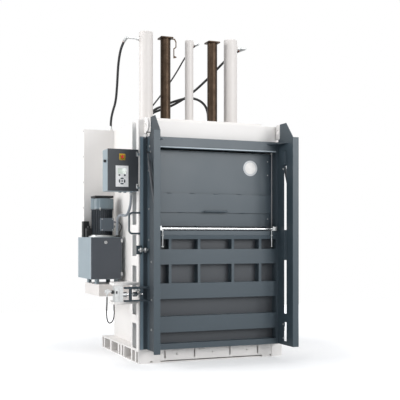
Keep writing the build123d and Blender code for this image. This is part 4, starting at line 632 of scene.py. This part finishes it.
# %% Sticker, switch plate and display
foil = moulded("vinyl sticker, silver grey", "C9CBCD", 0.35, bump=0.0)
paper = moulded("vinyl sticker, off white", "E9E7E4", 0.4, bump=0.0)
sticker_place = (417, -640, 1912)
work = bmesh.new()
turned(work, [(78, 0), (78, 0.5), (77.4, 0.8)], sticker_place, AHEAD, 72)
keep(work, "sticker_ring", foil, "flap")
work = bmesh.new()
turned(work, [(58, 0.8), (58, 1.0), (57.6, 1.2)], sticker_place, AHEAD, 72)
keep(work, "sticker_centre", paper, "flap")
work = bmesh.new()
slab(work, rounded(60, 60, 7), (KNOB_X, -650, KNOB_Z), *FRONT, 3)
keep(work, "switch_plate", yellow_abs, "control_door_body", soften=0.8)
work = bmesh.new()
slab(work, rounded(82, 51, 3), (-932, -656, 1841), *FRONT, 0.6)
keep(work, "display_window", display_glass, "control_door_body")
print("plates", 4)

# %% [markdown]
# The hinges of the two small doors show as bright zinc leaves. A hinge is a leaf on the door and a turned knuckle
# round its pin, so each is a slab and two short barrels.


# %% Door hinges
def hinge(work, knuckle, leaf_width, height, front_y):
    """Adds one zinc hinge: a leaf on the door's front and a split knuckle at its edge."""
    x, z = knuckle
    slab(work, rounded(leaf_width, height, 2), (x - leaf_width / 2, front_y, z), *FRONT, 2)
    half = height / 2
    for low in (-half, 1):
        barrel = [(4.5, low), (5, low + 0.5), (5, low + half - 1.5), (4.5, low + half - 1)]
        turned(work, barrel, (x, front_y - 1, z))


work = bmesh.new()
for level in (2008, 1700):
    hinge(work, (-775, level), 18, 44, -650)
keep(work, "control_door_hinges", zinc, "control_door_body")
work = bmesh.new()
for level in (1180, 828):
    hinge(work, (-682, level), 16, 36, 192.5)
keep(work, "tank_door_hinges", zinc, "tank_door_body")
print("hinges", 4)

# %% [markdown]
# Round the motor, cast and machined parts show as bright rings: the aluminium flange that carries it, the cable
# glands of its terminal box and a lifting eye. The black valve block of the pump stands beside it.

# %% Motor trim
cast_aluminium = metal("sand cast aluminium", "C9CBCB", 0.45, 0.35, 8 * MM, dark=0.7)
work = bmesh.new()
turned(work, [(149.6, 0), (150.6, 1), (150.6, 13), (149.2, 14.4), (128, 14.4), (126, 22), (109, 26), (108.5, 14)],
       (MOTOR_X, MOTOR_Y, 1216), sides=64)
keep(work, "motor_flange_casting", cast_aluminium, "frame")
work = bmesh.new()
for level in (1330, 1378):
    turned(work, [(9, -22), (11.4, -21), (11.4, -13), (10, -12), (10, -6), (13, -5), (13, 0), (9, 0.5)],
           (-729, 309, level), RIGHT)
keep(work, "terminal_glands", zinc, "frame")
work = bmesh.new()
turned(work, [(7, 0), (9, 1), (9, 7), (5, 9), (5, 14)], (-880, 346, 1524), (-0.35, -0.94, 0))
torus(work, (-887, 326, 1516), (0.94, -0.35, 0), 15, 4)
keep(work, "motor_eye", zinc, "frame")
work = bmesh.new()
slab(work, rounded(62, 96, 4), (-976, 500, 1264), *FRONT, 60)
turned(work, [(13, 0), (13, 10), (9, 12), (9, 16)], (-990, 440, 1290), AHEAD, 6)
turned(work, [(16, 0), (16, 22), (12, 24)], (-976, 470, 1312))
keep(work, "valve_block", black_enamel, "frame", soften=1.5)
print("motor trim", 4)

# %% [markdown]
# The lock is a bright steel block between two lugs. The dark windows in its front, the cover beside them, the collar
# round the bolt and the black fitting at its end show clearly from the front.

# %% Lock trim
work = bmesh.new()
for x, z, width, height in ((-1008, 697, 15, 24), (-972, 690, 24, 30)):
    slab(work, rounded(width, height, 2), (x, -738, z), *FRONT, 0.8)
keep(work, "lock_windows", black_abs, "frame")
work = bmesh.new()
slab(work, rounded(34, 128, 3), (-966, -738.2, 684), *FRONT, 4)
keep(work, "lock_cover", zinc, "frame", soften=1.0)
collar_place = (-941, -703, 674)
work = bmesh.new()
turned(work, [(15, 0), (17, 1.5), (17, 12), (15, 13.5)], collar_place, RIGHT, 6)
turned(work, [(11, 13.5), (11, 22), (10, 23)], collar_place, RIGHT)
keep(work, "bolt_collar", zinc, "frame")
work = bmesh.new()
turned(work, [(16, 0), (17, 2), (17, 18), (15, 20)], (-1050, -703, 700), RIGHT)
keep(work, "lock_inlet", black_abs, "frame")
print("lock trim", 4)

# %% [markdown]
# The flap hangs on its shaft by short arms behind it, and the front of the shaft stays bare and bright along its whole
# length. These arms stand for the solid ones, which are simpler and reach further up.

# %% Flap arms
work = bmesh.new()
arm_outline = [(-735, 1287), (-700, 1290), (-668, 1317), (-640, 1317), (-640, 1326), (-668, 1326), (-735, 1309)]
arm_thickness = 10
for x in (-560, -190, 190, 560):
    slab(work, arm_outline, (x - arm_thickness / 2, 0, 0), BACK, UP, arm_thickness)
arms = keep(work, "flap_arms_low", door_coat, "flap", soften=0.8)
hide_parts("flap_arms")
print("arms", 4)

# %% [markdown]
# The gap between the top beam and the roof behind it is closed by a white cover strip of thin sheet, with a folded
# edge that lies on the roof.

# %% Cover strip
work = bmesh.new()
slab(work, rounded(1310, 58, 2), (0, -410.5, 2373), *FRONT, 2.5)
slab(work, rounded(1310, 26, 2), (0, -399, 2400.3), RIGHT, BACK, 2)
keep(work, "roof_cover_strip", white_coat, "frame", soften=0.8)
print("cover strip", 1)

# %% [markdown]
# The flap closes against a steel strip on each side, which also hides the running gap beside it.

# %% Flap stop strips
work = bmesh.new()
for x in (-661, 661):
    slab(work, rounded(18, 752, 2), (x, -628, 1690), *FRONT, 4)
keep(work, "flap_stop_strips", guard_coat, "door")
print("stop strips", 2)

# %% [markdown]
# The lower lip of the top rail is rolled, and a painted highlight, much lighter than the rail, runs along its round
# edge in one long thin line.

# %% Rolled lip
# painted highlight: the rail's blue grey made much lighter along the rolled edge
lip_painted_highlight = powder_coat("powder coated steel, blue grey, painted highlight", "B9C4CB", roughness=0.35)
work = bmesh.new()
turned(work, [(5.5, 0), (6, 1), (6, 1298), (5.5, 1299)], (-649.5, -752, 2078), RIGHT, 16)
keep(work, "rail_lip_edge", lip_painted_highlight, "door")
print("rolled lip", 1)

# %% [markdown]
# Three bright turned parts show beside the door: the bolt through the ends of the lock arms, the link of the door stop,
# and the nut that holds the conduit under the control box.

# %% Arm bolt, stop link and conduit nut
arm_bolt_place = (-812, -726, 714)
work = bmesh.new()
turned(work, [(13, 0), (15, 1.5), (15, 14), (13, 15.5)], arm_bolt_place, RIGHT, 6)
turned(work, [(9, 15.5), (9, 34), (8, 36)], arm_bolt_place, RIGHT, 20)
turned(work, [(16, -6), (17, -5), (17, -1), (16, 0)], arm_bolt_place, RIGHT)
keep(work, "arm_bolt", zinc, "door")
work = bmesh.new()
turned(work, [(9, 0), (10, 2), (10, 14), (20, 15), (23, 18), (23, 28), (20, 31), (11, 32), (11, 58), (21, 59),
              (24, 62), (24, 74), (21, 77), (12, 78), (12, 96)], (-790, -722, 1093), RIGHT, 32)
keep(work, "stop_link", zinc, "door")
work = bmesh.new()
turned(work, [(15, 0), (18, 1.5), (18, 10), (15.5, 12), (12.5, 13.5), (12.5, 24)],
       routes["control_conduit"][0], (0, 0, -1), 6)
keep(work, "conduit_nut", zinc, "frame")
print("bolt, link and nut", 3)

# %% [markdown]
# Screws, bolts, welds and rings repeat, so Geometry Nodes set them. Loose points or lines say where they sit, one small
# shape is put on every point or step, and the sizes are named inputs of the tree. The result is turned to a plain
# mesh, because an instance would be lost when the model leaves Blender.


# %% Tree helpers
def new_tree(name, sizes):
    """A node group with named size inputs, and its input and output nodes."""
    tree = bpy.data.node_groups.new(name, "GeometryNodeTree")
    tree.interface.new_socket("Geometry", in_out="INPUT", socket_type="NodeSocketGeometry")
    for size_name, kind in sizes:
        tree.interface.new_socket(size_name, in_out="INPUT", socket_type="NodeSocket" + kind)
    tree.interface.new_socket("Geometry", in_out="OUTPUT", socket_type="NodeSocketGeometry")
    return tree, tree.nodes.new("NodeGroupInput").outputs, tree.nodes.new("NodeGroupOutput")


def close_tree(tree, instances, material, smooth, end):
    """Ends a tree: real geometry, smooth or flat faces, and its material."""
    real = add_node(tree, "GeometryNodeRealizeInstances", {"Geometry": instances})
    shaded = add_node(tree, "GeometryNodeSetShadeSmooth", {"Geometry": real.outputs[0], "Shade Smooth": smooth})
    painted = add_node(tree, "GeometryNodeSetMaterial", {"Geometry": shaded.outputs[0], "Material": material})
    tree.links.new(painted.outputs[0], end.inputs[0])


def grow(name, seed_mesh, tree, sizes, body):
    """Runs a tree on a seed mesh and keeps the result as a plain mesh that rides on a body."""
    piece = bpy.data.objects.new(name, seed_mesh)
    scene.collection.objects.link(piece)
    modifier = piece.modifiers.new("grow", "NODES")
    modifier.node_group = tree
    for item in tree.interface.items_tree:
        if item.name in sizes:
            modifier[item.identifier] = sizes[item.name]
    grown = evaluated_mesh(piece)
    piece.modifiers.clear()
    piece.data = grown
    grown.name = name
    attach(piece, body)
    return piece


def seeds(name, spots):
    """A mesh of loose points in mm, each with the axis that it faces and a size factor."""
    mesh = bpy.data.meshes.new(name + "_seeds")
    mesh.from_pydata([[c * MM for c in place] for place, axis, factor in spots], [], [])
    mesh.attributes.new("axis", "FLOAT_VECTOR", "POINT").data.foreach_set("vector", [c for s in spots for c in s[1]])
    mesh.attributes.new("factor", "FLOAT", "POINT").data.foreach_set("value", [s[2] for s in spots])
    return mesh


print("tree helpers ready")

# %% [markdown]
# A hexagon bolt is a six sided head on a thin round washer. The tree builds one and sets it on each point, turned to
# the point's axis and scaled by its factor.


# %% Bolt tree
def cylinder(tree, sides, radius, depth, foot):
    """A closed cylinder in a tree, lifted by half its depth and a foot height."""
    body = add_node(tree, "GeometryNodeMeshCylinder", {"Vertices": sides, "Radius": radius, "Depth": depth})
    half = add_node(tree, "ShaderNodeMath", {0: depth, 1: 0.5}, operation="MULTIPLY")
    lift = add_node(tree, "ShaderNodeMath", {0: half.outputs[0], 1: foot}, operation="ADD")
    spot = add_node(tree, "ShaderNodeCombineXYZ", {"Z": lift.outputs[0]})
    moved = add_node(tree, "GeometryNodeTransform", {"Geometry": body.outputs["Mesh"], "Translation": spot.outputs[0]})
    return moved.outputs[0]


def on_points(tree, points, shape):
    """Sets a shape on every point, turned to the point's axis and scaled by its factor."""
    axis = add_node(tree, "GeometryNodeInputNamedAttribute", {"Name": "axis"}, data_type="FLOAT_VECTOR")
    factor = add_node(tree, "GeometryNodeInputNamedAttribute", {"Name": "factor"}, data_type="FLOAT")
    turn = add_node(tree, "FunctionNodeAlignRotationToVector", {"Vector": axis.outputs[0]}, axis="Z")
    placed = add_node(
        tree,
        "GeometryNodeInstanceOnPoints",
        {"Points": points, "Instance": shape, "Rotation": turn.outputs[0], "Scale": factor.outputs[0]},
    )
    return placed.outputs[0]


bolt_tree, given, end = new_tree(
    "hexagon bolts",
    [("Head Radius", "Float"), ("Head Height", "Float"), ("Washer Radius", "Float"), ("Washer Height", "Float"),
     ("Sides", "Int"), ("Material", "Material")],
)
head = cylinder(bolt_tree, given["Sides"], given["Head Radius"], given["Head Height"], given["Washer Height"])
washer = cylinder(bolt_tree, 20, given["Washer Radius"], given["Washer Height"], 0.0)
both = add_node(bolt_tree, "GeometryNodeJoinGeometry", {"Geometry": head})
bolt_tree.links.new(washer, both.inputs[0])
close_tree(bolt_tree, on_points(bolt_tree, given["Geometry"], both.outputs[0]), given["Material"], False, end)
print("bolt tree nodes", len(bolt_tree.nodes))

# %% [markdown]
# Where the bolts are: small screws hold the flap's lining and the terminal box lid, larger ones the motor's flange and
# the rear cabinet, and a few stand on the left guard and in the slots of the right one. Each set has its own head
# radius, head height, washer radius, washer height and number of sides.

# %% Bolts and screws
flange_reach = 138
flange_angles = [math.radians(45 + 90 * k) for k in range(4)]
bolt_sets = (
    (
        "flap_screws", "flap", door_coat, "grey_paint", (4.5, 2.5, 6, 1, 16),
        [((x, -640, 2004), AHEAD, 1.0) for x in (-498, -193, 162, 462)],
    ),
    (
        "flap_edge_screws", "flap", zinc, "zinc", (4, 2.5, 6, 1, 6),
        [((612, -640, z), AHEAD, 1.0) for z in (1985, 1846, 1570, 1400)],
    ),
    (
        "terminal_screws", "frame", zinc, "zinc", (4.5, 3, 6.5, 1, 16),
        [((x, 284, z), AHEAD, 1.0) for x in (-877, -763) for z in (1294, 1408)],
    ),
    (
        "flange_bolts", "frame", zinc, "zinc", (9.5, 7, 13, 2, 6),
        [((MOTOR_X + flange_reach * math.cos(a), MOTOR_Y + flange_reach * math.sin(a), 1230.4), UP, 1.0)
         for a in flange_angles],
    ),
    (
        "cabinet_bolts", "frame", zinc, "zinc", (6, 4.5, 9, 1.5, 6),
        [((-985, 672, z), LEFT, 1.0) for z in (1260, 1540, 1820, 2100, 2380)],
    ),
    (
        "guard_bolts", "door", zinc, "zinc", (8, 6, 12, 2, 6),
        [((-688, y, z), LEFT, 1.0) for y, z in ((-776, 2020), (-749, 2075), (-722, 1849), (-730, 1482), (-901, 1365),
                                                (-726, 1188), (-809, 981), (-809, 623), (-809, 341))],
    ),
    (
        "slot_bolts", "door", zinc, "zinc", (7, 6, 10, 2, 6),
        [((683, y, z), LEFT, 1.0) for y, z in ((-850, 346), (-850, 208), (-850, 1896))],
    ),
)
for set_name, body, material, slot, sizes, spots in bolt_sets:
    names = ("Head Radius", "Head Height", "Washer Radius", "Washer Height")
    values = {name: size * MM for name, size in zip(names, sizes)}
    grow(set_name, seeds(set_name, spots), bolt_tree, {**values, "Sides": sizes[4], "Material": material}, body)
print("bolts", sum(len(entry[5]) for entry in bolt_sets))

# %% [markdown]
# A weld is a row of overlapping drops. The tree cuts each seam into equal steps and sets a drop on each. A fixed seed
# varies the size of the drops a little, so that the bead is uneven as a real one is.


# %% Weld tree
def step_points(tree, given):
    """Cuts the lines that a tree is given into points, one pitch apart."""
    line = add_node(tree, "GeometryNodeMeshToCurve", {"Mesh": given["Geometry"]})
    inputs = {"Curve": line.outputs[0], "Length": given["Pitch"]}
    return add_node(tree, "GeometryNodeResampleCurve", inputs, mode="LENGTH").outputs[0]


weld_tree, given, end = new_tree(
    "weld beads", [("Pitch", "Float"), ("Drop Radius", "Float"), ("Seed", "Int"), ("Material", "Material")]
)
drop = add_node(weld_tree, "GeometryNodeMeshIcoSphere", {"Radius": given["Drop Radius"], "Subdivisions": 2})
chance = add_node(weld_tree, "FunctionNodeRandomValue", {2: 0.75, 3: 1.15, "Seed": given["Seed"]}, data_type="FLOAT")
beads = add_node(
    weld_tree,
    "GeometryNodeInstanceOnPoints",
    {"Points": step_points(weld_tree, given), "Instance": drop.outputs[0], "Scale": chance.outputs[1]},
)
close_tree(weld_tree, beads.outputs[0], given["Material"], True, end)


def seams(name, lines):
    """A mesh of loose straight edges in mm, one for each weld."""
    mesh = bpy.data.meshes.new(name + "_seams")
    verts = [[c * MM for c in place] for line in lines for place in line]
    mesh.from_pydata(verts, [(2 * k, 2 * k + 1) for k in range(len(lines))], [])
    return mesh


print("weld tree nodes", len(weld_tree.nodes))

# %% [markdown]
# Sheet work is welded in short stitches, because a full seam would warp it. Stitches hold the door's uprights, ribs and
# back sheet, the band of the flap, and the plinth, base and roof of the frame. Lines and drop radii are in mm, and the
# number after the radius is the seed.

# %% Welds
upright_edges = [side * x + edge for side in (-1, 1) for x in (180, 479) for edge in (-14.5, 14.5)]
upright_heights = ((772, 952), (1099, 1197))
stitch_shares = ((0.14, 0.3), (0.7, 0.86))
door_y, flap_y = -657, -658
door_welds = [
    ((x, door_y, low + start * (high - low)), (x, door_y, low + stop * (high - low)))
    for low, high in upright_heights
    for x in upright_edges
    for start, stop in stitch_shares
]
door_welds += [((x - 25, door_y, z), (x + 25, door_y, z)) for x in range(-600, 601, 200) for z in (772, 454, 194)]
flap_welds = [((x - 22, flap_y, 1642), (x + 22, flap_y, 1642)) for x in (-460, -218, 30, 283, 540)]
flap_welds += [((x - 22, flap_y, 1457), (x + 22, flap_y, 1457)) for x in (-340, 330)]
frame_welds = [((x, -651, 114), (x + 60, -651, 114)) for x in (-700, -420, -140, 140, 420, 640)]
frame_welds += [((-645.5, y, 127), (-645.5, y + 80, 127)) for y in (-350, -50, 250, 520)]
frame_welds += [((-644, y, 2400), (-644, y + 50, 2400)) for y in (-300, 0, 300)]
weld_sets = (
    ("door_welds", door_welds, 3.4, 3, door_coat, "door", "grey_paint"),
    ("flap_welds", flap_welds, 3.4, 7, guard_coat, "flap", "grey_paint"),
    ("frame_welds", frame_welds, 3.2, 5, white_coat, "frame", "white_paint"),
)
for set_name, lines, radius, seed, material, body, slot in weld_sets:
    sizes = {"Pitch": 3.5 * MM, "Drop Radius": radius * MM, "Seed": seed, "Material": material}
    grow(set_name, seams(set_name, lines), weld_tree, sizes, body)
print("welds", sum(len(entry[1]) for entry in weld_sets))

# %% [markdown]
# Each hydraulic hose ends in a steel ferrule with three pressed rings, and a copper ring marks one end of each of the
# four main hoses. The tree stacks short cylinders of two radii, and the points sit on the ends of the hoses.

# %% Ferrule tree
ferrule_tree, given, end = new_tree(
    "hose ferrules", [("Radius", "Float"), ("Length", "Float"), ("Material", "Material")]
)
waist = add_node(ferrule_tree, "ShaderNodeMath", {0: given["Radius"], 1: 0.88}, operation="MULTIPLY")
band = add_node(ferrule_tree, "ShaderNodeMath", {0: given["Length"], 1: 0.2}, operation="MULTIPLY")
core = cylinder(ferrule_tree, 20, waist.outputs[0], given["Length"], 0.0)
stack = add_node(ferrule_tree, "GeometryNodeJoinGeometry", {"Geometry": core})
for share in (0.0, 0.4, 0.8):
    foot = add_node(ferrule_tree, "ShaderNodeMath", {0: given["Length"], 1: share}, operation="MULTIPLY")
    ring = cylinder(ferrule_tree, 20, given["Radius"], band.outputs[0], foot.outputs[0])
    ferrule_tree.links.new(ring, stack.inputs[0])
close_tree(ferrule_tree, on_points(ferrule_tree, given["Geometry"], stack.outputs[0]), given["Material"], False, end)


def hose_end(node_name, far):
    """The place, inward axis and size factor of one end of a hose."""
    points = routes[node_name][::-1] if far else routes[node_name]
    start, towards = Vector(points[0]), Vector(points[1])
    return tuple(start), tuple((towards - start).normalized()), cord_facts[node_name][0] / MAIN_HOSE


copper = metal("copper plated steel", "B5654A", 0.35, 0.3, 10 * MM)
ferrule_length = 38
main_hoses = ("hose_left", "hose_centre", "hose_right", "hose_return")
ends = [hose_end(name, far) for name in (*main_hoses, "lock_hose") for far in (False, True)]
grow("hose_ferrules", seeds("hose_ferrules", ends), ferrule_tree,
     {"Radius": 16 * MM, "Length": ferrule_length * MM, "Material": zinc}, "frame")
marks = []
for name in main_hoses:
    place, axis, factor = hose_end(name, False)
    marks.append((tuple(Vector(place) + Vector(axis) * ferrule_length), axis, factor))
grow("hose_marks", seeds("hose_marks", marks), ferrule_tree,
     {"Radius": 15.2 * MM, "Length": 9 * MM, "Material": copper}, "frame")
print("ferrules", len(ends), "marks", len(marks))

# %% [markdown]
# The grey conduit is corrugated, which lets a plastic tube bend without kinking. Rings stand on its smooth core at
# equal steps, each square to the line. The real pitch is about 4 mm, and 8 mm is drawn so that it still shows.

# %% Conduit ribs
rib_tree, given, end = new_tree(
    "conduit ribs", [("Pitch", "Float"), ("Radius", "Float"), ("Thickness", "Float"), ("Material", "Material")]
)
steps = step_points(rib_tree, given)
wide = add_node(rib_tree, "GeometryNodeCurvePrimitiveCircle", {"Resolution": 20, "Radius": given["Radius"]})
thin = add_node(rib_tree, "GeometryNodeCurvePrimitiveCircle", {"Resolution": 6, "Radius": given["Thickness"]})
ring = add_node(rib_tree, "GeometryNodeCurveToMesh", {"Curve": wide.outputs[0], "Profile Curve": thin.outputs[0]})
tangent = add_node(rib_tree, "GeometryNodeInputTangent")
turn = add_node(rib_tree, "FunctionNodeAlignRotationToVector", {"Vector": tangent.outputs[0]}, axis="Z")
rings = add_node(
    rib_tree,
    "GeometryNodeInstanceOnPoints",
    {"Points": steps, "Instance": ring.outputs[0], "Rotation": turn.outputs[0]},
)
close_tree(rib_tree, rings.outputs[0], given["Material"], True, end)


def middle_line(node_name):
    """The smooth line through a cord's route, read from its spline as a mesh of edges."""
    curve = cord_pieces[node_name].data.copy()
    curve.bevel_depth = 0
    curve.use_fill_caps = False
    carrier = bpy.data.objects.new("line_reader", curve)
    scene.collection.objects.link(carrier)
    mesh = evaluated_mesh(carrier)
    bpy.data.objects.remove(carrier)
    return mesh


ribs = grow("conduit_ribs", middle_line("control_conduit"), rib_tree,
            {"Pitch": 8 * MM, "Radius": 11 * MM, "Thickness": 2.2 * MM, "Material": conduit_pa},
            "frame")
print("conduit ribs", len(ribs.data.polygons), "faces")
